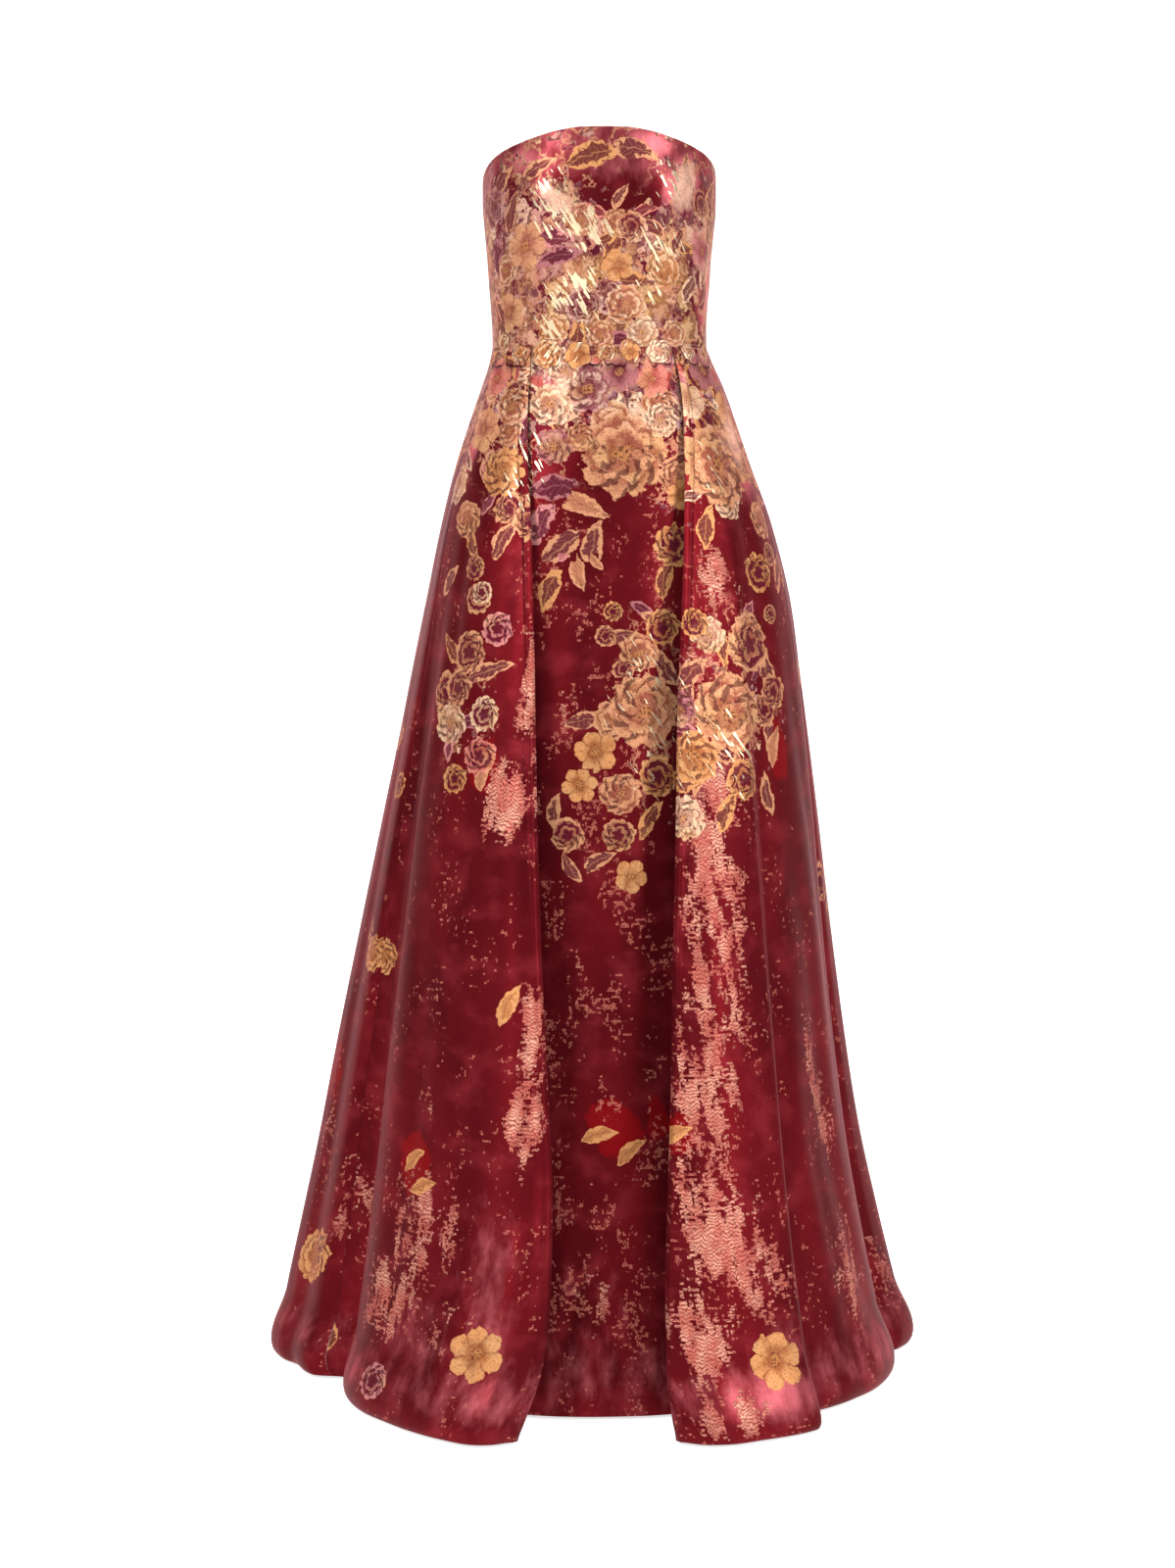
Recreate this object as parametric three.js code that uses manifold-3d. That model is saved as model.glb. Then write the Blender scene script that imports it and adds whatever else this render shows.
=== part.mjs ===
// Strapless column gown: fitted bodice, straight underskirt and a fuller overskirt open at the front.
// Millimetres. +X is to the right of someone facing the gown, the front faces -Y, +Z is up, and the
// origin is on the body's axis at the waist seam. A turn is an angle round the axis in degrees, 0 at
// the centre front, positive towards +X and 180 at the centre back.
import * as THREE from 'three';
import { mergeVertices } from 'three/addons/utils/BufferGeometryUtils.js';
import Module from 'manifold-3d';

const manifoldLibrary = await Module();
manifoldLibrary.setup();

// Driving sizes
const SEAM_GAP = 0.3;
const BODICE_WALL = 2.4;
const OVERSKIRT_WALL = 1.1;
const UNDERSKIRT_WALL = 1.0;
const HEM_DROP = 1158;
const SECTION_POWER = 2.3;

// Seams, as turns
const BODICE_SIDE_FRONT_SEAM = 65;
const BODICE_SIDE_BACK_SEAM = 118;
const OVERSKIRT_SIDE_SEAM = 75;
const UNDERSKIRT_SIDE_SEAM = 84;
const CENTRE_BACK = 180;

// Widest step between two columns of a panel, in degrees
const OVERSKIRT_STEP = 5;
const BODICE_STEP = 5.5;
const UNDERSKIRT_STEP = 7;

// Turn step for reading a level slope, and how often a front edge's turn is refined
const NORMAL_STEP = 0.05;
const EDGE_PASSES = 12;
const EDGE_FIRST_GUESS = 20;

// Cups: how far the front is pushed out at each bust point
const CUP = { turn: 31, height: 158, rise: 8, turnReach: 19, heightReach: 46 };

// Level sections of the bodice from the waist seam up: distance of the outer face from the axis
const BODICE_SECTIONS = [
  { height: 0, left: 119.5, right: 121, front: 92, back: 88 },
  { height: 22, left: 120, right: 120.5, front: 95, back: 88.5 },
  { height: 48, left: 122, right: 121.5, front: 99, back: 89.5 },
  { height: 74, left: 124, right: 124, front: 105, back: 91 },
  { height: 100, left: 125.5, right: 125.5, front: 110, back: 93 },
  { height: 128, left: 128, right: 128, front: 114.5, back: 95 },
  { height: 156, left: 130, right: 130.5, front: 117.5, back: 97 },
  { height: 184, left: 130, right: 130.5, front: 118.5, back: 98.5 },
  { height: 210, left: 128.5, right: 129, front: 117.5, back: 99 },
  { height: 236, left: 126.5, right: 127, front: 115, back: 99 },
];

// Height of the strapless top edge round one half of the bodice; the other half mirrors it
const TOP_EDGE = [
  { turn: 0, height: 235 },
  { turn: 12, height: 234.5 },
  { turn: 24, height: 231 },
  { turn: 36, height: 224.5 },
  { turn: 48, height: 217 },
  { turn: 60, height: 209 },
  { turn: 70, height: 201 },
  { turn: 80, height: 192 },
  { turn: 92, height: 182 },
  { turn: 110, height: 173 },
  { turn: 140, height: 167 },
  { turn: 180, height: 165 },
];

// Overskirt sections from the waist seam down: crests of the folds on each side of the axis, and how
// far the two front edges stand from the centre front
const OVERSKIRT_SECTIONS = [
  { drop: 0, left: 119.5, right: 121, front: 92, back: 88, openLeft: 80, openRight: 77 },
  { drop: 15, left: 122.5, right: 127, front: 96, back: 94, openLeft: 80, openRight: 81 },
  { drop: 40, left: 130, right: 138, front: 104, back: 106, openLeft: 82, openRight: 86 },
  { drop: 80, left: 143, right: 152, front: 116, back: 124, openLeft: 85, openRight: 90 },
  { drop: 130, left: 159, right: 169, front: 130, back: 144, openLeft: 86, openRight: 91 },
  { drop: 200, left: 177, right: 195, front: 147, back: 167, openLeft: 83, openRight: 88 },
  { drop: 290, left: 196, right: 219, front: 166, back: 190, openLeft: 81, openRight: 83 },
  { drop: 400, left: 219, right: 236, front: 188, back: 215, openLeft: 80, openRight: 77 },
  { drop: 520, left: 244, right: 252, front: 212, back: 241, openLeft: 79, openRight: 74 },
  { drop: 650, left: 271, right: 268, front: 237, back: 269, openLeft: 76, openRight: 70 },
  { drop: 780, left: 298, right: 286, front: 262, back: 297, openLeft: 71, openRight: 66 },
  { drop: 900, left: 322, right: 306, front: 285, back: 323, openLeft: 67, openRight: 61 },
  { drop: 1000, left: 343, right: 328, front: 306, back: 346, openLeft: 69, openRight: 57 },
  { drop: 1080, left: 360, right: 348, front: 322, back: 364, openLeft: 79, openRight: 57 },
  { drop: 1130, left: 369, right: 361, front: 332, back: 375, openLeft: 95, openRight: 60 },
  { drop: HEM_DROP, left: 371, right: 364, front: 338, back: 380, openLeft: 107, openRight: 66 },
];

// Folds of the overskirt at the hem: how far the cloth lies inside the crest outline at each turn.
// A negative value is a fold that swells past that outline.
const HEM_FOLDS = [
  { turn: -180, inside: 8 },
  { turn: -176, inside: -4 },
  { turn: -169, inside: 2 },
  { turn: -163, inside: 36 },
  { turn: -158, inside: 68 },
  { turn: -153, inside: 42 },
  { turn: -147, inside: 8 },
  { turn: -138, inside: -5 },
  { turn: -128, inside: 8 },
  { turn: -121, inside: 50 },
  { turn: -116, inside: 72 },
  { turn: -111, inside: 30 },
  { turn: -104, inside: 2 },
  { turn: -93, inside: -3 },
  { turn: -88, inside: 7 },
  { turn: -84, inside: 24 },
  { turn: -80, inside: 30 },
  { turn: -77, inside: 38 },
  { turn: -74, inside: 68 },
  { turn: -71, inside: 86 },
  { turn: -67, inside: 76 },
  { turn: -62, inside: 52 },
  { turn: -52, inside: 32 },
  { turn: -45, inside: 23 },
  { turn: -38, inside: 11 },
  { turn: -31, inside: -1 },
  { turn: -25, inside: -9 },
  { turn: -22, inside: -5 },
  { turn: -18, inside: 10 },
  { turn: 10, inside: 12 },
  { turn: 13, inside: 0 },
  { turn: 16, inside: -10 },
  { turn: 20.5, inside: -14 },
  { turn: 26, inside: -11 },
  { turn: 32, inside: -10 },
  { turn: 36.5, inside: -7 },
  { turn: 39.5, inside: 16 },
  { turn: 42.5, inside: 42 },
  { turn: 47, inside: 40 },
  { turn: 54, inside: 37 },
  { turn: 62, inside: 31 },
  { turn: 71, inside: 28 },
  { turn: 79, inside: 34 },
  { turn: 84, inside: 46 },
  { turn: 88, inside: 16 },
  { turn: 94, inside: -3 },
  { turn: 101, inside: -2 },
  { turn: 108, inside: 22 },
  { turn: 113, inside: 60 },
  { turn: 118, inside: 54 },
  { turn: 124, inside: 16 },
  { turn: 133, inside: -6 },
  { turn: 143, inside: -2 },
  { turn: 150, inside: 26 },
  { turn: 155, inside: 68 },
  { turn: 160, inside: 52 },
  { turn: 165, inside: 12 },
  { turn: 172, inside: -4 },
  { turn: 180, inside: 8 },
];
const FOLD_START_DROP = 150;
const FOLD_GROWTH = 1.4;

// Underskirt sections from the waist seam down
const UNDERSKIRT_SECTIONS = [
  { drop: 0, left: 118.1, right: 119.6, front: 90.6, back: 86.6 },
  { drop: 15, left: 120.1, right: 121.5, front: 93, back: 90 },
  { drop: 40, left: 126, right: 127, front: 99, back: 97 },
  { drop: 80, left: 137, right: 138, front: 108, back: 111 },
  { drop: 130, left: 149, right: 150, front: 117, back: 126 },
  { drop: 200, left: 162, right: 163, front: 127, back: 138 },
  { drop: 400, left: 176, right: 177, front: 151, back: 155 },
  { drop: 650, left: 191, right: 191, front: 181, back: 180 },
  { drop: 900, left: 212, right: 212, front: 211, back: 208 },
  { drop: HEM_DROP, left: 240, right: 240, front: 243, back: 240 },
];

// Cut-out flower and leaf edges that overlap the waist seam: centre, half size, height to width,
// petals, how deep the notches between them are, and the tilt of the long axis
const WAIST_MOTIFS = [
  {
    name: 'waist_leaf_left_end', turn: -66, height: 5,
    size: 10, tall: 1.6, petals: 3, notch: 0.16, tilt: 12,
  },
  {
    name: 'waist_bud_left', turn: -53, height: -5,
    size: 8, tall: 0.9, petals: 4, notch: 0.18, tilt: 30,
  },
  {
    name: 'waist_flower_left', turn: -36, height: -8,
    size: 17, tall: 1, petals: 7, notch: 0.14, tilt: 10,
  },
  {
    name: 'waist_flower_centre', turn: -17, height: -9,
    size: 15.5, tall: 1.1, petals: 5, notch: 0.2, tilt: -24,
  },
  {
    name: 'waist_petals_centre', turn: 1.5, height: -5,
    size: 11, tall: 1.1, petals: 4, notch: 0.22, tilt: 40,
  },
  {
    name: 'waist_leaf_centre', turn: 18, height: -5,
    size: 11, tall: 1.5, petals: 2, notch: 0.12, tilt: 35,
  },
  {
    name: 'waist_flower_right', turn: 36, height: -5,
    size: 14.5, tall: 0.95, petals: 6, notch: 0.12, tilt: 0,
  },
  {
    name: 'waist_bud_right', turn: 55, height: -4,
    size: 9.5, tall: 1.1, petals: 4, notch: 0.2, tilt: -20,
  },
  {
    name: 'waist_leaf_right_end', turn: 72, height: -2,
    size: 9, tall: 0.8, petals: 3, notch: 0.14, tilt: 15,
  },
];
const MOTIF_WALL = 1.0;
const MOTIF_LIFT = 0.4;
const MOTIF_RINGS = [0.5, 1];
const POINTS_A_PETAL = 4;

// Concealed zip at the centre back: slider body, bridge and pull tab
const ZIP = {
  height: 149,
  lift: 0.35,
  bodyWidth: 6,
  bodyLength: 10,
  bodyThick: 1.6,
  bodyCorner: 2,
  bridgeWidth: 1.6,
  bridgeLength: 7.6,
  bridgeThick: 1,
  bridgeFoot: 0.5,
  underBridge: 1.7,
  barThick: 1.1,
  tabWidth: 6.4,
  tabLength: 21,
  tabEndRadius: 3.2,
  tabNarrowing: 0.86,
  tabShoulder: 2,
  slotWidth: 2.8,
  slotLength: 6,
};

const radians = THREE.MathUtils.degToRad;

function cloth(color, roughness, metalness) {
  return new THREE.MeshStandardMaterial({ color, roughness, metalness, side: THREE.FrontSide });
}

// Straight-line reading of one named column of a table
function readTable(table, key, value, column) {
  const rising = table[table.length - 1][key] > table[0][key];
  const rows = rising ? table : [...table].reverse();
  if (value <= rows[0][key]) return rows[0][column];
  for (let i = 1; i < rows.length; i += 1) {
    if (value <= rows[i][key]) {
      const share = (value - rows[i - 1][key]) / (rows[i][key] - rows[i - 1][key]);
      return THREE.MathUtils.lerp(rows[i - 1][column], rows[i][column], share);
    }
  }
  return rows[rows.length - 1][column];
}

// Rounded section: one reach to each side, one to the front and one to the back
function sectionRadius(table, key, value, turn) {
  const sine = Math.sin(radians(turn));
  const cosine = Math.cos(radians(turn));
  const across = readTable(table, key, value, sine < 0 ? 'left' : 'right');
  const along = readTable(table, key, value, cosine > 0 ? 'front' : 'back');
  const sum = (Math.abs(sine) / across) ** SECTION_POWER + (Math.abs(cosine) / along) ** SECTION_POWER;
  return sum ** (-1 / SECTION_POWER);
}

function bodiceRadius(turn, height) {
  const awayTurn = (Math.abs(turn) - CUP.turn) / CUP.turnReach;
  const awayHeight = (height - CUP.height) / CUP.heightReach;
  const cup = CUP.rise * Math.exp(-awayTurn * awayTurn - awayHeight * awayHeight);
  const seamShare = THREE.MathUtils.smoothstep(height, 0, CUP.heightReach);
  return sectionRadius(BODICE_SECTIONS, 'height', height, turn) + cup * seamShare;
}

// Turn of a front edge of the overskirt at a drop, on the left for side -1 and the right for side 1
function openingTurn(side, drop) {
  const reach = readTable(OVERSKIRT_SECTIONS, 'drop', drop, side < 0 ? 'openLeft' : 'openRight');
  let turn = EDGE_FIRST_GUESS;
  for (let pass = 0; pass < EDGE_PASSES; pass += 1) {
    const radius = sectionRadius(OVERSKIRT_SECTIONS, 'drop', drop, side * turn);
    turn = THREE.MathUtils.radToDeg(Math.asin(reach / radius));
  }
  return side * turn;
}

// The folds of the front panels lean with the front edge, so each turn is read at its place in the hem
function turnAtHem(turn, drop) {
  const side = Math.sign(turn) || 1;
  if (Math.abs(turn) >= OVERSKIRT_SIDE_SEAM) return turn;
  const edge = Math.abs(openingTurn(side, drop));
  const hemEdge = Math.abs(openingTurn(side, HEM_DROP));
  const share = (Math.abs(turn) - edge) / (OVERSKIRT_SIDE_SEAM - edge);
  return side * (hemEdge + Math.max(share, 0) * (OVERSKIRT_SIDE_SEAM - hemEdge));
}

function foldDepth(hemTurn, drop) {
  const grown = Math.max(0, (drop - FOLD_START_DROP) / (HEM_DROP - FOLD_START_DROP)) ** FOLD_GROWTH;
  return grown * readTable(HEM_FOLDS, 'turn', hemTurn, 'inside');
}

function overskirtRadius(turn, drop) {
  const crest = sectionRadius(OVERSKIRT_SECTIONS, 'drop', drop, turn);
  return crest - foldDepth(turnAtHem(turn, drop), drop);
}

function underskirtRadius(turn, drop) {
  return sectionRadius(UNDERSKIRT_SECTIONS, 'drop', drop, turn);
}

// Level outward normal of a polar outline
function levelNormal(radiusAt, turn) {
  const step = NORMAL_STEP;
  const radius = radiusAt(turn);
  const growth = (radiusAt(turn + step) - radiusAt(turn - step)) / radians(2 * step);
  const sine = Math.sin(radians(turn));
  const cosine = Math.cos(radians(turn));
  const normal = new THREE.Vector3(radius * sine - growth * cosine, -growth * sine - radius * cosine, 0);
  return normal.normalize();
}

function polarPoint(turn, radius, height) {
  return new THREE.Vector3(radius * Math.sin(radians(turn)), -radius * Math.cos(radians(turn)), height);
}

function geometryOf(points, faces) {
  const geometry = new THREE.BufferGeometry();
  const positions = new Float32Array(points.flatMap((point) => point.toArray()));
  geometry.setAttribute('position', new THREE.BufferAttribute(positions, 3));
  geometry.setIndex(faces.flat());
  geometry.computeVertexNormals();
  return geometry;
}

// A cloth wall between an outer and an inner grid, both [column][row], rows running down
function wallBetween(outer, inner) {
  const columns = outer.length;
  const rows = outer[0].length;
  const points = [...outer.flat(), ...inner.flat()];
  const out = (i, j) => i * rows + j;
  const inn = (i, j) => columns * rows + i * rows + j;
  const faces = [];
  const quad = (a, b, c, d) => faces.push([a, b, c], [a, c, d]);
  for (let i = 0; i + 1 < columns; i += 1) {
    for (let j = 0; j + 1 < rows; j += 1) {
      quad(out(i, j), out(i, j + 1), out(i + 1, j + 1), out(i + 1, j));
      quad(inn(i, j), inn(i + 1, j), inn(i + 1, j + 1), inn(i, j + 1));
    }
    quad(out(i, 0), out(i + 1, 0), inn(i + 1, 0), inn(i, 0));
    quad(out(i, rows - 1), inn(i, rows - 1), inn(i + 1, rows - 1), out(i + 1, rows - 1));
  }
  for (let j = 0; j + 1 < rows; j += 1) {
    quad(out(0, j), inn(0, j), inn(0, j + 1), out(0, j + 1));
    quad(out(columns - 1, j), out(columns - 1, j + 1), inn(columns - 1, j + 1), inn(columns - 1, j));
  }
  return geometryOf(points, faces);
}

// A panel whose level places are turns: start and end turns may change from row to row
function clothPanel({ shares, rows, startTurn, endTurn, radiusAt, heightAt, wall }) {
  const outer = [];
  const inner = [];
  for (const share of shares) {
    const outerColumn = [];
    const innerColumn = [];
    for (const row of rows) {
      const halfGap = THREE.MathUtils.radToDeg(SEAM_GAP / 2 / radiusAt(startTurn(row), row));
      const turn = THREE.MathUtils.lerp(startTurn(row) + halfGap, endTurn(row) - halfGap, share);
      const height = heightAt(turn, row);
      const point = polarPoint(turn, radiusAt(turn, row), height);
      const normal = levelNormal((angle) => radiusAt(angle, row), turn);
      outerColumn.push(point);
      innerColumn.push(point.clone().addScaledVector(normal, -wall));
    }
    outer.push(outerColumn);
    inner.push(innerColumn);
  }
  return wallBetween(outer, inner);
}

function evenShares(from, to, step) {
  const count = Math.ceil(Math.abs(to - from) / step);
  return Array.from({ length: count + 1 }, (_, i) => i / count);
}

// Columns of an overskirt panel: one on every fold line of the hem, more where those are far apart
function foldShares(from, to) {
  const low = Math.min(from, to);
  const high = Math.max(from, to);
  const turns = HEM_FOLDS.map((fold) => fold.turn).filter((turn) => turn > low + 1 && turn < high - 1);
  const stops = [low, ...turns, high];
  const shares = [0];
  for (let i = 1; i < stops.length; i += 1) {
    const parts = Math.ceil((stops[i] - stops[i - 1]) / OVERSKIRT_STEP);
    for (let part = 1; part <= parts; part += 1) {
      shares.push((stops[i - 1] + ((stops[i] - stops[i - 1]) * part) / parts - low) / (high - low));
    }
  }
  return shares;
}

function bodicePanel(from, to) {
  const highest = TOP_EDGE[0].height;
  const rows = BODICE_SECTIONS.map((section) => Math.min(section.height, highest) / highest).reverse();
  const lowest = SEAM_GAP / 2;
  const heightAt = (turn, row) => {
    const top = readTable(TOP_EDGE, 'turn', Math.abs(turn), 'height');
    return lowest + row * (top - lowest);
  };
  return clothPanel({
    shares: evenShares(from, to, BODICE_STEP),
    rows,
    startTurn: () => from,
    endTurn: () => to,
    radiusAt: (turn, row) => bodiceRadius(turn, heightAt(turn, row)),
    heightAt,
    wall: BODICE_WALL,
  });
}

const skirtHeight = (turn, drop) => -Math.max(drop, SEAM_GAP / 2);

function overskirtFront(side) {
  const edge = (drop) => openingTurn(side, drop);
  const seam = () => side * OVERSKIRT_SIDE_SEAM;
  const [startTurn, endTurn] = side < 0 ? [seam, edge] : [edge, seam];
  return clothPanel({
    shares: foldShares(startTurn(HEM_DROP), endTurn(HEM_DROP)),
    rows: OVERSKIRT_SECTIONS.map((section) => section.drop),
    startTurn,
    endTurn,
    radiusAt: overskirtRadius,
    heightAt: skirtHeight,
    wall: OVERSKIRT_WALL,
  });
}

function overskirtBack(side) {
  const [from, to] = side < 0 ? [-CENTRE_BACK, -OVERSKIRT_SIDE_SEAM] : [OVERSKIRT_SIDE_SEAM, CENTRE_BACK];
  return clothPanel({
    shares: foldShares(from, to),
    rows: OVERSKIRT_SECTIONS.map((section) => section.drop),
    startTurn: () => from,
    endTurn: () => to,
    radiusAt: overskirtRadius,
    heightAt: skirtHeight,
    wall: OVERSKIRT_WALL,
  });
}

function underskirtPanel(from, to) {
  return clothPanel({
    shares: evenShares(from, to, UNDERSKIRT_STEP),
    rows: UNDERSKIRT_SECTIONS.map((section) => section.drop),
    startTurn: () => from,
    endTurn: () => to,
    radiusAt: underskirtRadius,
    heightAt: skirtHeight,
    wall: UNDERSKIRT_WALL,
  });
}

// Outer face that a waist motif lies on: the bodice above the seam, below it the skirt that shows there
function motifBed(turn, height) {
  if (height >= 0) return bodiceRadius(turn, height);
  const waist = bodiceRadius(turn, 0);
  const onOverskirt = Math.abs(turn) > Math.abs(openingTurn(Math.sign(turn) || 1, -height)) - 1;
  const skirt = onOverskirt ? overskirtRadius(turn, -height) : underskirtRadius(turn, -height);
  return Math.max(waist, skirt);
}

function waistMotif(motif) {
  const { turn, height, size, tall, petals, notch, tilt } = motif;
  const waistRadius = bodiceRadius(turn, 0);
  const place = (ring, angle, lift) => {
    const reach = size * ring * (1 - notch * (1 - Math.cos(petals * angle)) * 0.5 * ring);
    const flat = new THREE.Vector2(reach * Math.cos(angle), reach * tall * Math.sin(angle));
    flat.rotateAround(new THREE.Vector2(), radians(tilt));
    const atTurn = turn + THREE.MathUtils.radToDeg(flat.x / waistRadius);
    const atHeight = height + flat.y;
    const normal = levelNormal((value) => motifBed(value, atHeight), atTurn);
    return polarPoint(atTurn, motifBed(atTurn, atHeight), atHeight).addScaledVector(normal, lift);
  };
  const count = petals * POINTS_A_PETAL;
  const points = [];
  const faces = [];
  for (const lift of [MOTIF_LIFT, MOTIF_LIFT + MOTIF_WALL]) {
    points.push(place(0, 0, lift));
    for (const ring of MOTIF_RINGS) {
      for (let i = 0; i < count; i += 1) points.push(place(ring, (i / count) * 2 * Math.PI, lift));
    }
  }
  const layer = 1 + count * MOTIF_RINGS.length;
  for (let i = 0; i < count; i += 1) {
    const next = (i + 1) % count;
    const [a, b] = [1 + i, 1 + next];
    const [c, d] = [a + count, b + count];
    const [frontA, frontB, frontC, frontD] = [a, b, c, d].map((corner) => layer + corner);
    faces.push([0, b, a], [a, b, d], [a, d, c]);
    faces.push([layer, frontA, frontB], [frontA, frontD, frontB], [frontA, frontC, frontD]);
    faces.push([c, d, frontD], [c, frontD, frontC]);
  }
  return geometryOf(points, faces);
}

function toSolid(geometry) {
  const bare = geometry.clone();
  bare.deleteAttribute('normal');
  bare.deleteAttribute('uv');
  const merged = mergeVertices(bare, 1e-4);
  const mesh = new manifoldLibrary.Mesh({
    numProp: 3,
    vertProperties: merged.attributes.position.array,
    triVerts: new Uint32Array(merged.index.array),
  });
  return new manifoldLibrary.Manifold(mesh);
}

function fromSolid(solid) {
  const mesh = solid.getMesh();
  const geometry = new THREE.BufferGeometry();
  geometry.setAttribute('position', new THREE.BufferAttribute(new Float32Array(mesh.vertProperties), 3));
  geometry.setIndex(Array.from(mesh.triVerts));
  geometry.computeVertexNormals();
  return geometry;
}

const zipFace = bodiceRadius(CENTRE_BACK, ZIP.height + ZIP.bodyLength / 2) + ZIP.lift;
const bridgeInside = zipFace + ZIP.bodyThick + ZIP.underBridge;
const pullAxis = { y: zipFace + ZIP.bodyThick + ZIP.underBridge / 2, z: ZIP.height };

// Slider body with rounded corners and a bridge along it, open from side to side
function zipSlider() {
  const corner = ZIP.bodyCorner;
  const [halfWidth, halfLength] = [ZIP.bodyWidth / 2, ZIP.bodyLength / 2];
  const outline = new THREE.Shape();
  outline.moveTo(halfWidth, -halfLength + corner);
  outline.lineTo(halfWidth, halfLength - corner);
  outline.absarc(halfWidth - corner, halfLength - corner, corner, 0, Math.PI / 2, false);
  outline.absarc(-halfWidth + corner, halfLength - corner, corner, Math.PI / 2, Math.PI, false);
  outline.absarc(-halfWidth + corner, -halfLength + corner, corner, Math.PI, Math.PI * 1.5, false);
  outline.absarc(halfWidth - corner, -halfLength + corner, corner, Math.PI * 1.5, Math.PI * 2, false);
  const bodyCut = { depth: ZIP.bodyThick, bevelEnabled: false, curveSegments: 3 };
  const body = new THREE.ExtrudeGeometry(outline, bodyCut);
  body.rotateX(Math.PI / 2).translate(0, zipFace + ZIP.bodyThick, ZIP.height);
  const rise = ZIP.underBridge + ZIP.bridgeThick;
  const foot = ZIP.bridgeFoot;
  const bridge = new THREE.BoxGeometry(ZIP.bridgeWidth, rise + foot, ZIP.bridgeLength);
  bridge.translate(0, zipFace + ZIP.bodyThick + (rise - foot) / 2, ZIP.height);
  const gapLength = ZIP.bridgeLength - 2 * ZIP.bridgeThick;
  const gap = new THREE.BoxGeometry(ZIP.bridgeWidth * 2, ZIP.underBridge, gapLength);
  gap.translate(0, pullAxis.y, ZIP.height);
  return fromSolid(toSolid(body).add(toSolid(bridge).subtract(toSolid(gap))));
}

// Pull tab hanging from the bar that runs under the bridge
function zipPullTab() {
  const half = ZIP.barThick / 2;
  const neck = ZIP.tabWidth / 2;
  const shoulder = neck * ZIP.tabNarrowing;
  const shoulderHeight = half - ZIP.slotLength - ZIP.tabShoulder;
  const bottom = half - ZIP.tabLength + ZIP.tabEndRadius;
  const outline = new THREE.Shape();
  outline.moveTo(-neck, half);
  outline.lineTo(-shoulder, shoulderHeight);
  outline.lineTo(-ZIP.tabEndRadius, bottom);
  outline.absarc(0, bottom, ZIP.tabEndRadius, Math.PI, Math.PI * 2, false);
  outline.lineTo(shoulder, shoulderHeight);
  outline.lineTo(neck, half);
  const slot = new THREE.Path();
  slot.moveTo(-ZIP.slotWidth / 2, -half);
  slot.lineTo(-ZIP.slotWidth / 2, -half - ZIP.slotLength);
  slot.lineTo(ZIP.slotWidth / 2, -half - ZIP.slotLength);
  slot.lineTo(ZIP.slotWidth / 2, -half);
  outline.holes.push(slot);
  const plateCut = { depth: ZIP.barThick, bevelEnabled: false, curveSegments: 6 };
  const plate = new THREE.ExtrudeGeometry(outline, plateCut);
  plate.translate(0, 0, -half).rotateX(Math.PI / 2).translate(0, pullAxis.y, pullAxis.z);
  return fromSolid(toSolid(plate));
}

// Cloth and metal colours
const sideCloth = () => cloth(0x8a2f38, 0.42, 0.05);
const centreCloth = () => cloth(0x5e1620, 0.48, 0.05);
const bodiceCloth = () => cloth(0xb98a68, 0.38, 0.2);
const motifCloth = () => cloth(0xd9a066, 0.4, 0.25);
const zipMetal = () => cloth(0xb08a5a, 0.3, 0.9);

const gown = new THREE.Group();

function addPiece(name, geometry, material) {
  const mesh = new THREE.Mesh(geometry, material);
  mesh.name = name;
  gown.add(mesh);
}

addPiece('bodice_front', bodicePanel(-BODICE_SIDE_FRONT_SEAM, BODICE_SIDE_FRONT_SEAM), bodiceCloth());
addPiece('bodice_side_left', bodicePanel(-BODICE_SIDE_BACK_SEAM, -BODICE_SIDE_FRONT_SEAM), bodiceCloth());
addPiece('bodice_side_right', bodicePanel(BODICE_SIDE_FRONT_SEAM, BODICE_SIDE_BACK_SEAM), bodiceCloth());
addPiece('bodice_back_left', bodicePanel(-CENTRE_BACK, -BODICE_SIDE_BACK_SEAM), bodiceCloth());
addPiece('bodice_back_right', bodicePanel(BODICE_SIDE_BACK_SEAM, CENTRE_BACK), bodiceCloth());
addPiece('underskirt_front', underskirtPanel(-UNDERSKIRT_SIDE_SEAM, UNDERSKIRT_SIDE_SEAM), centreCloth());
addPiece('underskirt_back_left', underskirtPanel(-CENTRE_BACK, -UNDERSKIRT_SIDE_SEAM), centreCloth());
addPiece('underskirt_back_right', underskirtPanel(UNDERSKIRT_SIDE_SEAM, CENTRE_BACK), centreCloth());
addPiece('overskirt_front_left', overskirtFront(-1), sideCloth());
addPiece('overskirt_front_right', overskirtFront(1), sideCloth());
addPiece('overskirt_back_left', overskirtBack(-1), sideCloth());
addPiece('overskirt_back_right', overskirtBack(1), sideCloth());
for (const motif of WAIST_MOTIFS) addPiece(motif.name, waistMotif(motif), motifCloth());
addPiece('zip_slider', zipSlider(), zipMetal());
addPiece('zip_pull_tab', zipPullTab(), zipMetal());

export default gown;
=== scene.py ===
"""Strapless column gown of floral satin jacquard, filled out as it is worn.

A turn is an angle round the body in degrees, 0 at the centre front and positive towards +X.
A drop is a distance below the waist seam, in millimetres like every length in the tables.
"""

import math

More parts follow.
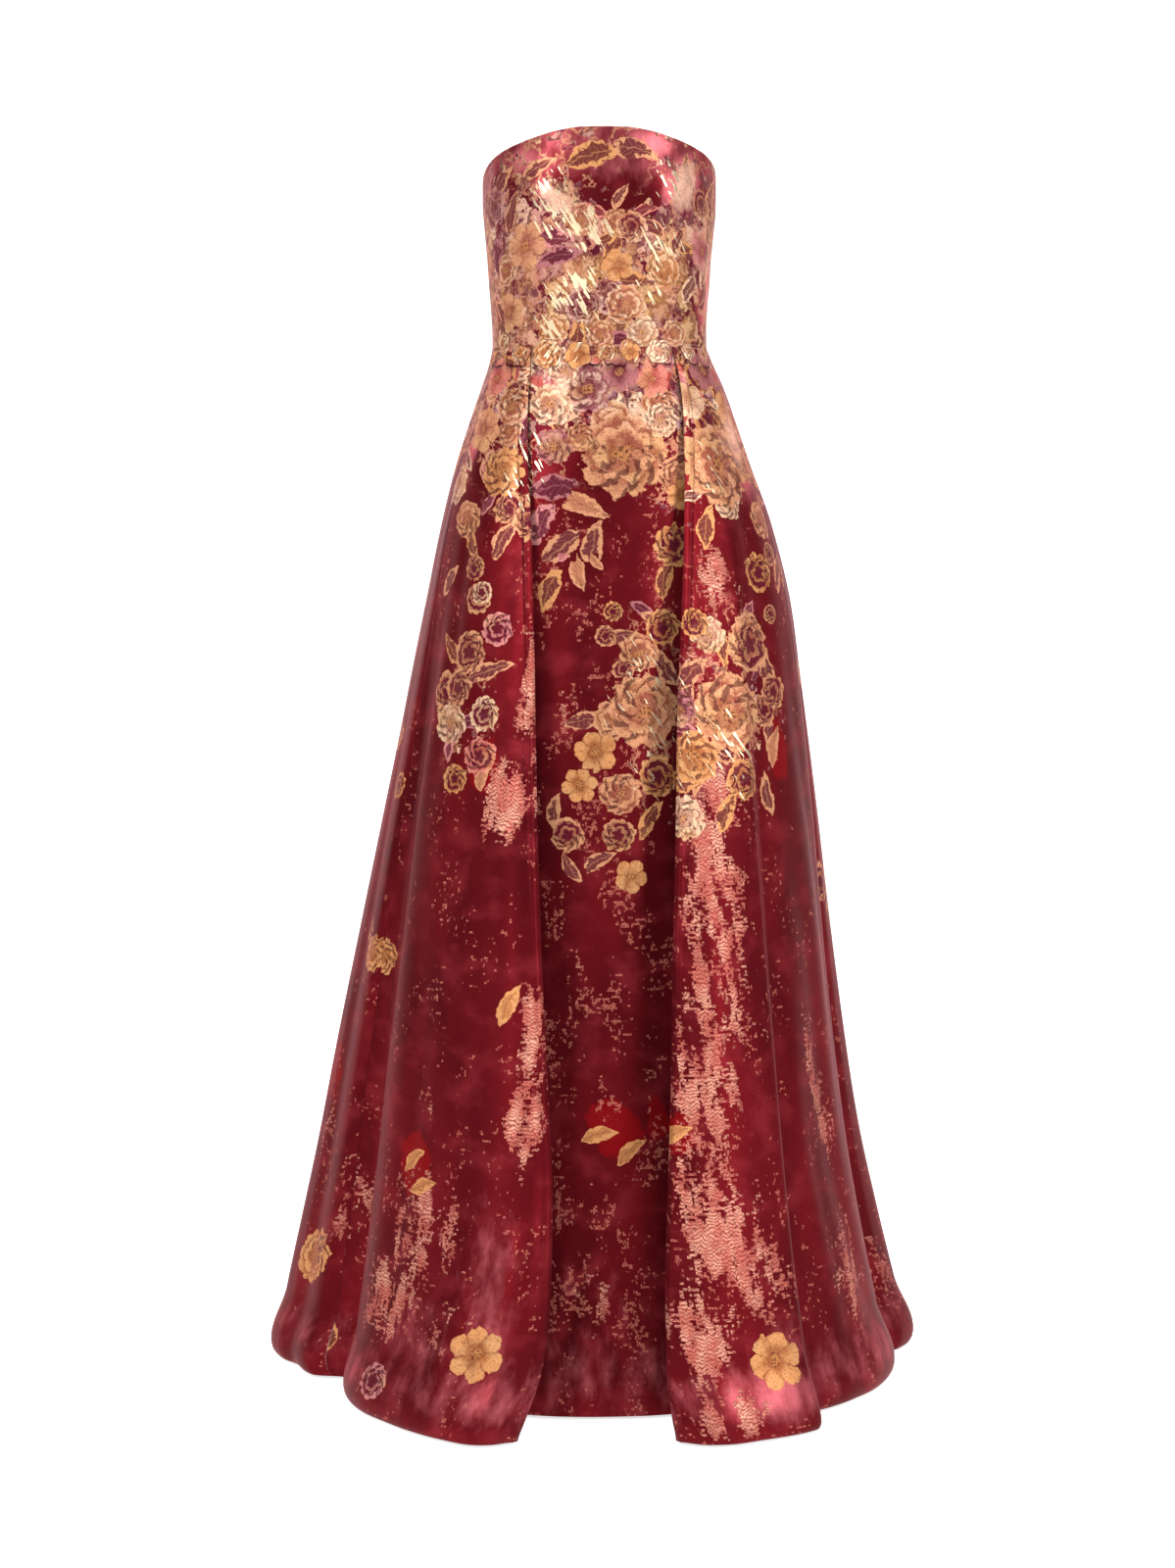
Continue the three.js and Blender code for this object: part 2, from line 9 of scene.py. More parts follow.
import bpy
import numpy as np
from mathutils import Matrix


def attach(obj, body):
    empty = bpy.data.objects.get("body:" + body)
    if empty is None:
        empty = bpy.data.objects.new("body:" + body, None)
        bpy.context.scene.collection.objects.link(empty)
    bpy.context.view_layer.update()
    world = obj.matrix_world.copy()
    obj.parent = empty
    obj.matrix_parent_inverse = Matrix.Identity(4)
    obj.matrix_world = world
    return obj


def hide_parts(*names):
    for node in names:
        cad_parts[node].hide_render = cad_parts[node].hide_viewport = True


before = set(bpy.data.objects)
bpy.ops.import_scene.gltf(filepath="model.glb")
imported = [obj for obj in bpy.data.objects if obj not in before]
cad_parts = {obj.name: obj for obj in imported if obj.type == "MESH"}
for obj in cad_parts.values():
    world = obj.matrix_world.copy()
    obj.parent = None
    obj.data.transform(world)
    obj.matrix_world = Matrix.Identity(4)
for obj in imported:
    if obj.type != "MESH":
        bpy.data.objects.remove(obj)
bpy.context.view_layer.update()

MM = 0.001
STEP = 1.0

# Columns of the tables
SECTION = "left right front back"
CREASE = "turn_a drop_a turn_b drop_b width depth"
MOTIF = "turn drop radius colour kind spin"
ZONE = "turn drop turn_reach drop_reach weight"


def table(names, *rows):
    """Rows of numbers as named columns."""
    return dict(zip(names.split(), np.array(rows, float).T))


def rows_of(columns):
    return zip(*columns.values())


# Sizes of the cut

SEAM_GAP = 0.3
BODICE_WALL = 2.4
OVERSKIRT_WALL = 1.1
UNDERSKIRT_WALL = 1.0
HEM_DROP = 1158.0
SECTION_POWER = 2.3
BODICE_SIDE_FRONT_SEAM = 65.0
BODICE_SIDE_BACK_SEAM = 118.0
OVERSKIRT_SIDE_SEAM = 75.0
UNDERSKIRT_SIDE_SEAM = 84.0
CENTRE_BACK = 180.0

CUP = {"turn": 31.0, "height": 158.0, "rise": 8.0, "turn_reach": 19.0, "height_reach": 46.0}

BODICE_SECTIONS = table(
    "height " + SECTION,
    (0, 119.5, 121, 92, 88),
    (22, 120, 120.5, 95, 88.5),
    (48, 122, 121.5, 99, 89.5),
    (74, 124, 124, 105, 91),
    (100, 125.5, 125.5, 110, 93),
    (128, 128, 128, 114.5, 95),
    (156, 130, 130.5, 117.5, 97),
    (184, 130, 130.5, 118.5, 98.5),
    (210, 128.5, 129, 117.5, 99),
    (236, 126.5, 127, 115, 99),
)
TOP_EDGE = table(
    "turn height",
    (0, 235), (12, 234.5), (24, 231), (36, 224.5), (48, 217), (60, 209), (70, 201), (80, 192),
    (92, 182), (110, 173), (140, 167), (180, 165),
)
OVERSKIRT_SECTIONS = table(
    "drop " + SECTION + " open_left open_right",
    (0, 119.5, 121, 92, 88, 80, 77),
    (15, 122.5, 127, 96, 94, 80, 81),
    (40, 130, 138, 104, 106, 82, 86),
    (80, 143, 152, 116, 124, 85, 90),
    (130, 159, 169, 130, 144, 86, 91),
    (200, 177, 195, 147, 167, 83, 88),
    (290, 196, 219, 166, 190, 81, 83),
    (400, 219, 236, 188, 215, 80, 77),
    (520, 244, 252, 212, 241, 79, 74),
    (650, 271, 268, 237, 269, 76, 70),
    (780, 298, 286, 262, 297, 71, 66),
    (900, 322, 306, 285, 323, 67, 61),
    (1000, 343, 328, 306, 346, 69, 57),
    (1080, 360, 348, 322, 364, 79, 57),
    (1130, 369, 361, 332, 375, 95, 60),
    (1158, 371, 364, 338, 380, 107, 66),
)
UNDERSKIRT_SECTIONS = table(
    "drop " + SECTION,
    (0, 118.1, 119.6, 90.6, 86.6),
    (15, 120.1, 121.5, 93, 90),
    (40, 126, 127, 99, 97),
    (80, 137, 138, 108, 111),
    (130, 149, 150, 117, 126),
    (200, 162, 163, 127, 138),
    (400, 176, 177, 151, 155),
    (650, 191, 191, 181, 180),
    (900, 212, 212, 211, 208),
    (1158, 240, 240, 243, 240),
)
# How far the hem of the overskirt lies inside the outline of its fold crests
HEM_FOLDS = table(
    "turn inside",
    (-180, 8), (-176, -4), (-169, 2), (-163, 36), (-158, 68), (-153, 42), (-147, 8), (-138, -5),
    (-128, 8), (-121, 50), (-116, 72), (-111, 30), (-104, 2), (-93, -3), (-88, 7), (-84, 24), (-80, 30),
    (-77, 38), (-74, 68), (-71, 86), (-67, 76), (-62, 52), (-52, 32), (-45, 23), (-38, 11), (-31, -1),
    (-25, -9), (-22, -5), (-18, 10), (10, 12), (13, 0), (16, -10), (20.5, -14), (26, -11), (32, -10),
    (36.5, -7), (39.5, 16), (42.5, 42), (47, 40), (54, 37), (62, 31), (71, 28), (79, 34), (84, 46),
    (88, 16), (94, -3), (101, -2), (108, 22), (113, 60), (118, 54), (124, 16), (133, -6), (143, -2),
    (150, 26), (155, 68), (160, 52), (165, 12), (172, -4), (180, 8),
)
FOLD_START_DROP = 150.0
FOLD_GROWTH = 1.4

# Creases, each from one end to the other: a negative depth is a trough
OVERSKIRT_CREASES = table(
    CREASE,
    (-19, 840, -27, 1060, 34, -7), (-22, 1010, -40, 1120, 26, 5), (-30, 560, -33, 1010, 30, -3),
    (-38, 60, -34, 330, 16, -1.6), (-45, 20, -50, 420, 22, 2.2), (-56, 25, -58, 520, 18, -2.4),
    (-62, 15, -61, 260, 14, 1.6), (-52, 620, -46, 1130, 26, -4), (-68, 200, -66, 760, 20, -3),
    (43, 10, 30, 420, 15, -2), (52, 20, 44, 520, 20, 2.4), (60, 20, 58, 380, 16, -2.2),
    (24, 500, 17, 900, 24, -3), (30, 640, 22, 1100, 30, 3), (14, 1000, 24, 1130, 24, -4),
    (58, 560, 66, 1120, 26, -5), (50, 700, 52, 1150, 20, 3.5), (70, 300, 72, 900, 22, -3),
    (-82, 10, -84, 300, 16, -2), (-96, 15, -100, 420, 20, 2.6), (-110, 10, -112, 500, 18, -3),
    (-124, 20, -126, 330, 16, 2), (-137, 10, -140, 560, 22, -3), (-151, 15, -152, 380, 15, -2.4),
    (-165, 10, -166, 620, 20, 3), (-101, 700, -96, 1140, 26, -4), (-133, 640, -130, 1120, 26, -4),
    (83, 10, 86, 330, 16, 2), (97, 12, 99, 460, 20, -3), (110, 15, 109, 360, 18, 2.4),
    (124, 10, 128, 540, 20, -3), (139, 15, 141, 300, 15, 2), (153, 10, 152, 480, 20, -2.6),
    (168, 12, 168, 400, 16, 2.4), (98, 660, 101, 1130, 26, -4), (137, 700, 140, 1140, 28, -4),
    (172, 760, 170, 1130, 24, -4), (-172, 720, -173, 1140, 22, -4),
)
UNDERSKIRT_CREASES = table(
    CREASE,
    (-9, 980, -12, 1140, 12, -3.5), (-3, 1010, 2, 1120, 14, -3), (-20, 200, -14, 900, 26, -3),
    (10, 300, 7, 980, 30, 2.6), (24, 150, 16, 820, 24, -3), (-32, 80, -28, 600, 22, 2.4),
    (0, 90, -2, 520, 34, -2), (14, 1040, 10, 1150, 14, 2.4), (36, 60, 34, 700, 20, -2.4),
    (60, 200, 62, 1100, 40, -5), (-60, 200, -58, 1100, 40, -5), (100, 200, 102, 1120, 44, -5),
    (-104, 180, -101, 1120, 44, -5), (140, 240, 142, 1120, 40, -5), (-142, 260, -140, 1130, 40, -5),
)
BODICE_CREASES = table(
    CREASE,
    (-58, -20, -30, -60, 9, -0.9), (-62, -60, -38, -96, 10, 0.8), (58, -16, 34, -52, 9, -0.9),
    (62, -58, 40, -104, 10, 0.8), (-12, -10, -20, -120, 14, -0.8), (14, -12, 20, -112, 14, 0.7),
    (0, -130, 0, -226, 22, -1.6), (-44, -190, -22, -222, 10, 0.8), (46, -186, 26, -220, 10, -0.8),
    (-88, -20, -92, -150, 12, -0.9), (90, -26, 88, -150, 12, 0.8), (-134, -12, -150, -90, 12, -1),
    (136, -14, 152, -88, 12, -1), (-110, -30, -100, -120, 11, 0.8), (112, -26, 104, -126, 11, 0.8),
)
HEM_LIP = {"start": 1080.0, "crest": 1138.0, "rise": 9.0, "tuck": 7.0}
FRONT_EDGE_ROLL = {"width": 9.0, "rise": 2.2}
SEAM_ROLL = {"width": 2.4, "fall": 0.4}
STITCH_GAP = 0.04

# Mean distances from the axis, which turn an angle into a length
STITCH_RADIUS = 100.0
SKIRT_RADIUS = 200.0

# Finish of the walls: how far an edge is rounded out, the close rows along it and the spacing elsewhere
EDGE_ROUND = 0.12
EDGE_ROWS = np.array([0.35, 0.9, 1.8, 3.2])
BODICE_TALL = 235.0
COLUMN_STEP = {"overskirt": 3.4, "underskirt": 4.5, "bodice": 3.2}
ROW_STEP = {"overskirt": 6.5, "underskirt": 9.0, "bodice": 3.2}

# Pattern of the cloth: flowers and leaves listed one by one, each with its place, radius, colour, kind and
# spin
CREAM, PEACH, ROSE, MAUVE, GOLD, CORAL = range(6)
SIMPLE, PEONY, OUTLINED = 0, 6, 12
HOLLOW, SOLID = 0, 6
FAR_AWAY = 9.0
MOTIF_REACH = 1.3
SEED_RANGE = (0.05, 0.95)
FIRST_DRAW = 40
BLOOMS = {
    "overskirt": table(
        MOTIF,
        (-26, 1067, 33, GOLD, SIMPLE, 10), (30, 1081, 34, GOLD, SIMPLE, 40),
        (-83, 1028, 36, GOLD, PEONY, 70), (53, 131, 52, PEACH, PEONY, 0),
        (84, 50, 34, MAUVE, SIMPLE, 30), (62, 28, 24, MAUVE, SIMPLE, 0),
        (46, 58, 24, CREAM, SIMPLE, 15), (-64, 93, 28, PEACH, SIMPLE, 20),
        (-47, 138, 30, GOLD, PEONY, 80), (-66, 32, 24, CORAL, SIMPLE, 50),
        (-50, 62, 24, PEACH, PEONY, 35), (-76, 148, 26, CREAM, PEONY, 35),
        (-61, 190, 24, PEACH, PEONY, 10), (70, 186, 24, PEACH, PEONY, 20),
        (84, 140, 32, PEACH, PEONY, 60), (-52, 243, 17, PEACH, OUTLINED, 60),
        (-47, 269, 14, CREAM, OUTLINED, 35), (60, 246, 24, GOLD, OUTLINED, 15),
        (62, 290, 12, PEACH, OUTLINED, 45), (69, 226, 15, PEACH, OUTLINED, 5),
        (39, 399, 46, PEACH, PEONY, 45), (50, 325, 33, PEACH, OUTLINED, 5),
        (31, 299, 18, GOLD, OUTLINED, 75), (58, 378, 22, PEACH, OUTLINED, 25),
        (26, 444, 32, GOLD, PEONY, 5), (41, 470, 24, GOLD, OUTLINED, 25),
        (-49, 331, 25, PEACH, OUTLINED, 25), (-52, 368, 22, PEACH, OUTLINED, 65),
        (-53, 408, 26, CREAM, PEONY, 5), (-40, 442, 22, CORAL, OUTLINED, 50),
        (-48, 466, 18, GOLD, OUTLINED, 15), (-79, 487, 17, GOLD, OUTLINED, 20),
        (-78, 674, 23, GOLD, PEONY, 20), (90, 362, 22, PEACH, PEONY, 10),
        (87, 606, 25, PEACH, OUTLINED, 40),
    ),
    "underskirt": table(
        MOTIF,
        (11, 117, 52, PEACH, PEONY, 20), (-10, 44, 30, MAUVE, PEONY, 50),
        (11, 30, 25, MAUVE, SIMPLE, 10), (-24, 30, 20, CREAM, PEONY, 75),
        (-31, 61, 27, CREAM, PEONY, 5), (-28, 111, 23, MAUVE, PEONY, 40),
        (31, 32, 21, CORAL, SIMPLE, 75), (32, 78, 22, CREAM, PEONY, 30),
        (-13, 100, 18, PEACH, PEONY, 60), (33, 212, 25, GOLD, OUTLINED, 35),
        (16, 398, 43, PEACH, PEONY, 35), (-4, 443, 25, GOLD, SIMPLE, 0),
        (-11, 477, 21, GOLD, SIMPLE, 40), (5, 482, 25, PEACH, PEONY, 15),
        (26, 302, 22, GOLD, OUTLINED, 60), (0, 317, 13, PEACH, OUTLINED, 20),
        (3, 290, 12, GOLD, OUTLINED, 50), (15, 332, 24, PEACH, PEONY, 45),
        (4, 527, 20, PEACH, OUTLINED, 25), (8, 573, 20, GOLD, SIMPLE, 25),
        (-15, 531, 20, PEACH, OUTLINED, 70), (20, 466, 24, GOLD, OUTLINED, 20),
        (7, 352, 13, PEACH, OUTLINED, 70),
    ),
    "bodice": table(
        MOTIF,
        (-44, -108, 29, PEACH, SIMPLE, 20), (-60, -36, 26, PEACH, SIMPLE, 60),
        (8, -86, 19, GOLD, SIMPLE, 0), (60, -107, 27, ROSE, SIMPLE, 40),
        (25, -16, 20, CREAM, PEONY, 50), (46, -14, 18, PEACH, PEONY, 70),
        (-32, -18, 20, GOLD, PEONY, 30), (14, -130, 18, PEACH, OUTLINED, 50),
        (34, -84, 24, GOLD, PEONY, 5), (14, -44, 24, PEACH, PEONY, 15),
        (-64, -152, 24, MAUVE, OUTLINED, 35), (54, -156, 20, PEACH, OUTLINED, 20),
        (-2, -12, 17, PEACH, PEONY, 10),
    ),
}
LEAVES = {
    "overskirt": table(
        MOTIF,
        (-25, 703, 26, GOLD, SOLID, 66), (-36, 342, 15, PEACH, HOLLOW, 20),
        (-47, 880, 21, GOLD, SOLID, 40), (-43, 902, 22, GOLD, SOLID, 20),
        (14, 842, 23, GOLD, SOLID, 24), (55, 437, 24, PEACH, SOLID, 70),
        (-39, 458, 26, PEACH, SOLID, 84), (-42, 206, 26, PEACH, HOLLOW, 60),
        (-56, 214, 24, GOLD, HOLLOW, 120), (41, 196, 28, GOLD, HOLLOW, 70),
        (56, 352, 30, PEACH, HOLLOW, 110), (28, 350, 28, PEACH, HOLLOW, 40),
        (-42, 352, 26, PEACH, HOLLOW, 20), (-58, 330, 26, GOLD, HOLLOW, 140),
        (-52, 432, 24, ROSE, HOLLOW, 80), (50, 486, 26, PEACH, HOLLOW, 100),
        (-66, 252, 24, PEACH, HOLLOW, 50), (72, 250, 26, PEACH, HOLLOW, 60),
        (-78, 96, 30, PEACH, HOLLOW, 40), (78, 110, 30, PEACH, HOLLOW, 130),
        (-40, 84, 24, MAUVE, HOLLOW, 75), (-82, 660, 22, GOLD, HOLLOW, 100),
        (92, 640, 30, PEACH, HOLLOW, 80), (34, 500, 26, GOLD, HOLLOW, 60),
    ),
    "underskirt": table(
        MOTIF,
        (-24, 152, 36, MAUVE, HOLLOW, 4), (-12, 168, 34, PEACH, SOLID, -20),
        (-30, 192, 32, ROSE, HOLLOW, 60), (-20, 214, 34, PEACH, HOLLOW, 35),
        (-6, 212, 32, PEACH, HOLLOW, 80), (-14, 240, 24, PEACH, SOLID, 100),
        (-20, 226, 15, ROSE, SOLID, 60), (-5, 230, 14, PEACH, SOLID, 130),
        (-26, 258, 30, GOLD, HOLLOW, 70), (-3, 850, 22, GOLD, SOLID, 14), (6, 872, 22, GOLD, SOLID, 38),
        (6, 310, 20, PEACH, HOLLOW, 20), (26, 348, 26, PEACH, HOLLOW, 120),
        (-8, 402, 26, PEACH, HOLLOW, 10), (16, 512, 26, GOLD, HOLLOW, 60),
        (-3, 560, 22, PEACH, HOLLOW, 30), (-20, 500, 22, PEACH, HOLLOW, 80),
        (28, 250, 26, GOLD, HOLLOW, 75), (-14, 566, 20, PEACH, HOLLOW, 120),
    ),
    "bodice": table(
        MOTIF,
        (-4, -146, 16, CORAL, HOLLOW, 150), (8, -160, 17, PEACH, HOLLOW, 60),
        (20, -148, 17, CORAL, HOLLOW, 20), (-58, -176, 28, PEACH, HOLLOW, 40),
        (-34, -192, 24, PEACH, HOLLOW, 20), (-24, -98, 28, MAUVE, HOLLOW, 8),
        (-26, -118, 28, ROSE, HOLLOW, -12), (-50, -146, 26, PEACH, HOLLOW, 70),
        (40, -116, 20, PEACH, HOLLOW, 60), (-6, -206, 34, GOLD, HOLLOW, 12),
        (16, -212, 30, PEACH, HOLLOW, -8), (62, -160, 24, PEACH, HOLLOW, 75),
        (-66, -100, 24, MAUVE, HOLLOW, 84), (66, -70, 22, CREAM, HOLLOW, 110),
        (0, -36, 18, GOLD, HOLLOW, 60), (52, -66, 22, CREAM, HOLLOW, 60),
        (-70, -186, 24, MAUVE, SOLID, 30), (44, -190, 22, PEACH, HOLLOW, 100),
    ),
}
# Soft zones where a part of the pattern gathers: centre, reach each way and strength
FLOAT_ZONES = table(
    ZONE,
    (40, 255, 10, 60, 0.85), (38, 320, 9, 60, 0.85), (29, 372, 8, 60, 0.9), (29, 500, 12, 90, 0.95),
    (28, 600, 11, 100, 0.95), (26, 690, 11, 90, 0.85), (21, 785, 11, 90, 0.85), (18, 885, 10, 80, 0.85),
    (23, 955, 13, 80, 0.92), (16, 1050, 9, 80, 0.85), (30, 1000, 10, 60, 0.75), (40, 715, 6, 80, 0.55),
    (58, 790, 6, 90, 0.75), (62, 865, 7, 50, 0.8), (60, 1020, 9, 80, 0.8), (90, 1060, 8, 90, 0.62),
    (20, 1128, 9, 36, 0.8), (-25, 372, 6, 80, 1.0), (-31, 490, 9, 60, 0.98), (-22, 440, 5, 80, 0.9),
    (-19, 740, 5, 70, 0.95), (-20, 830, 5, 60, 0.95), (-45, 640, 8, 120, 0.5), (-43, 950, 13, 80, 0.84),
    (-50, 1035, 11, 60, 0.84), (-32, 1050, 8, 60, 0.62), (-74, 960, 9, 90, 0.6), (-42, 800, 6, 90, 0.5),
    (-92, 500, 8, 90, 0.5), (-88, 880, 9, 90, 0.5), (-110, 620, 10, 190, 0.8),
    (-132, 880, 10, 190, 0.85), (-156, 560, 9, 200, 0.8), (-172, 980, 9, 150, 0.75),
    (108, 600, 9, 200, 0.78), (130, 900, 10, 210, 0.85), (152, 580, 9, 190, 0.8),
    (173, 920, 9, 190, 0.75),
)
UNDER_FLOAT_ZONES = table(
    ZONE,
    (-16, 392, 6, 60, 0.66), (-10, 700, 6, 60, 0.55), (-5, 1030, 7, 60, 0.66), (8, 1090, 12, 40, 0.5),
    (-20, 330, 5, 60, 0.5), (6, 640, 10, 60, 0.36), (120, 700, 14, 260, 0.5), (-120, 800, 14, 260, 0.5),
    (160, 900, 12, 200, 0.5),
)
FLORAL_BANDS = table(
    ZONE,
    (0, -95, 190, 130, 1.0), (0, 40, 190, 100, 1.0), (40, 130, 26, 60, 0.8), (-42, 120, 18, 80, 0.7),
    (16, 390, 14, 120, 0.7), (44, 370, 18, 110, 0.66), (-48, 380, 12, 100, 0.6),
    (110, 360, 20, 140, 0.62), (-112, 350, 20, 140, 0.62), (150, 430, 18, 130, 0.62),
    (-152, 400, 18, 150, 0.62),
)
STREAK_ZONES = table(
    ZONE,
    (-25, -150, 13, 40, 1.0), (-8, -122, 16, 26, 1.0), (30, -112, 15, 30, 0.8),
    (-16, -58, 22, 30, 0.95), (30, -70, 12, 26, 0.6), (36, -178, 14, 26, 0.8), (-30, -22, 20, 16, 0.75),
    (-38, 130, 8, 50, 0.7), (16, 400, 18, 110, 0.42), (38, 440, 10, 60, 0.6), (170, -90, 30, 50, 0.8),
    (-140, -80, 24, 50, 0.8), (110, -100, 24, 50, 0.7), (52, 130, 12, 50, 0.42),
)
CRIMSON_ZONES = table(
    ZONE,
    (-46, 884, 5, 34, 1.0), (-47, 870, 4, 22, 1.0), (3, 850, 8, 30, 1.0), (-1, 832, 6, 24, 1.0),
    (15, 838, 4, 26, 0.9), (-90, 820, 5, 40, 0.9), (-38, 452, 5, 34, 1.0), (57, 440, 4, 40, 1.0),
)
# Soft round spots of painted satin sheen, and spots of the bodice where the petals thin out
GLOWS = {
    "overskirt": table(
        ZONE,
        (70, 95, 20, 75, 1.15), (-70, 90, 8, 60, 0.9), (27, 450, 12, 55, 0.5), (-24, 1010, 9, 140, 0.5),
        (-40, 1060, 14, 70, 0.45), (34, 1060, 14, 60, 0.4), (30, 1112, 9, 40, 0.72),
    ),
    "underskirt": table(
        ZONE,
        (-26, 42, 10, 26, 1.25), (8, 70, 12, 20, 0.8),
    ),
    "bodice": table(
        ZONE,
        (-74, -60, 15, 60, 0.92), (74, -60, 15, 60, 0.92), (-42, -200, 14, 22, 0.85),
        (24, -216, 20, 22, 0.85), (70, -90, 13, 50, 1.05),
    ),
}
BODICE_BARE = table(
    ZONE,
    (14, -170, 16, 30, 0.5), (70, -48, 13, 42, 0.75), (4, -114, 14, 30, 0.3),
)
# Where the painted sheen above the hem lies: the turns of the lobes it favours, its drop and its reaches
HEM_LOBES = (-24, 24, 42, 66, -62, -100, 104, 150, -150)
HEM_SHEEN = {"drop": 1112.0, "reach": 44.0, "lobe_reach": 9.0}

# How each part of the gown fills up with more motifs, and how close they may come, in their own sizes
BLOOM_CROWD = 0.97
LEAF_CROWD = 0.85
FILL_COLOURS = [CREAM, PEACH, PEACH, ROSE, MAUVE, GOLD, PEACH, GOLD]
FILL = {
    "overskirt": {"tries": 90, "sizes": (16, 27), "flecks": 0.45, "sparse": 0.0006},
    "underskirt": {"tries": 60, "sizes": (16, 26), "flecks": 1.0, "sparse": 0.0},
    "bodice": {"tries": 7, "sizes": (15, 24), "flecks": 0.5, "sparse": 0.0},
}


# Curves and sections


def smooth(xs, ys, at):
    """A smooth curve through a table's points that never overshoots them."""
    step = np.diff(xs)
    slope = np.diff(ys) / step
    both = slope[:-1] * slope[1:]
    total = np.where(both > 0, slope[:-1] + slope[1:], 1.0)
    inner = np.where(both > 0, 2 * both / total, 0.0)
    tangent = np.concatenate([[slope[0]], inner, [slope[-1]]])
    at = np.clip(at, xs[0], xs[-1])
    k = np.clip(np.searchsorted(xs, at) - 1, 0, len(xs) - 2)
    u = (at - xs[k]) / step[k]
    low = (1 + 2 * u) * (1 - u) ** 2 * ys[k] + u * (1 - u) ** 2 * step[k] * tangent[k]
    high = u * u * (3 - 2 * u) * ys[k + 1] + u * u * (u - 1) * step[k] * tangent[k + 1]
    return low + high


def section_radius(sections, key, value, turn):
    sine, cosine = np.sin(np.radians(turn)), np.cos(np.radians(turn))
    left, right, front, back = (smooth(sections[key], sections[c], value) for c in SECTION.split())
    across = np.where(sine < 0, left, right)
    along = np.where(cosine > 0, front, back)
    total = (np.abs(sine) / across) ** SECTION_POWER + (np.abs(cosine) / along) ** SECTION_POWER
    return total ** (-1 / SECTION_POWER)


def bodice_radius(turn, height):
    away = ((np.abs(turn) - CUP["turn"]) / CUP["turn_reach"]) ** 2
    away = away + ((height - CUP["height"]) / CUP["height_reach"]) ** 2
    share = np.clip(height / CUP["height_reach"], 0, 1)
    cup = CUP["rise"] * np.exp(-away) * share * share * (3 - 2 * share)
    return section_radius(BODICE_SECTIONS, "height", height, turn) + cup


def opening_turn(side, drop):
    """The turn of a front edge of the overskirt at some drops, found in steps from its reach sideways."""
    column = "open_left" if side < 0 else "open_right"
    reach = smooth(OVERSKIRT_SECTIONS["drop"], OVERSKIRT_SECTIONS[column], drop)
    turn = np.full(np.shape(drop), 20.0)
    for _ in range(12):
        turn = np.degrees(np.arcsin(reach / section_radius(OVERSKIRT_SECTIONS, "drop", drop, side * turn)))
    return side * turn


def turn_at_hem(turn, drop):
    """The turn at the hem that a place on a front panel leads down to, as its folds lean with the edge."""
    side = np.where(turn < 0, -1.0, 1.0)
    edge = np.where(side < 0, -opening_turn(-1, drop), opening_turn(1, drop))
    hem_edge = np.where(side < 0, -opening_turn(-1, HEM_DROP), opening_turn(1, HEM_DROP))
    share = np.maximum((np.abs(turn) - edge) / (OVERSKIRT_SIDE_SEAM - edge), 0)
    leaning = side * (hem_edge + share * (OVERSKIRT_SIDE_SEAM - hem_edge))
    return np.where(np.abs(turn) >= OVERSKIRT_SIDE_SEAM, turn, leaning)


def overskirt_radius(turn, drop):
    grown = np.maximum(0, (drop - FOLD_START_DROP) / (HEM_DROP - FOLD_START_DROP)) ** FOLD_GROWTH
    fold = grown * smooth(HEM_FOLDS["turn"], HEM_FOLDS["inside"], turn_at_hem(turn, drop))
    return section_radius(OVERSKIRT_SECTIONS, "drop", drop, turn) - fold


def underskirt_radius(turn, drop):
    return section_radius(UNDERSKIRT_SECTIONS, "drop", drop, turn)


def polar(turn, radius, height):
    angle = np.radians(turn)
    return np.stack([radius * np.sin(angle), -radius * np.cos(angle), height + 0 * radius], -1)


# Cloth walls


def normals_of(points):
    across = np.gradient(points, axis=0)
    down = np.gradient(points, axis=1)
    normal = np.cross(down, across)
    return normal / np.linalg.norm(normal, axis=-1, keepdims=True)


def zone_sum(zones, turn, drop):
    """How strongly a place belongs to soft-edged zones, 0 to 1."""
    best = np.zeros(np.shape(turn))
    for centre, level, reach, height, weight in rows_of(zones):
        across = (turn - centre) / reach
        along = (drop - level) / height
        best = np.maximum(best, weight * np.exp(-((across * across + along * along) ** 1.5)))
    return best


def crease_relief(creases, turn, drop, radius):
    """Height of the listed creases at each place of a panel. They wander a little and fade out."""
    relief = np.zeros(np.shape(turn))
    for i, (turn_a, drop_a, turn_b, drop_b, width, depth) in enumerate(rows_of(creases)):
        x = np.radians(turn - turn_a) * radius
        y = drop - drop_a
        end_x = np.radians(turn_b - turn_a) * radius
        end_y = drop_b - drop_a
        along = np.clip((x * end_x + y * end_y) / (end_x**2 + end_y**2), 0, 1)
        wander = 0.35 * width * np.sin(along * 7.0 + i * 1.7)
        away = np.hypot(x - along * end_x - wander, y - along * end_y) / width
        fade = np.sin(np.pi * np.clip(along * 0.9 + 0.07, 0, 1)) ** 0.7
        relief += depth * fade * np.exp(-away * away * 1.6)
    return relief


def shares_of(length, step):
    """Places from 0 to 1 along a panel, closer together at both ends."""
    even = np.linspace(0, 1, max(4, int(round(length / (step * STEP)))) + 1)
    ends = EDGE_ROWS / length
    return np.unique(np.concatenate([even, ends, 1 - ends]))


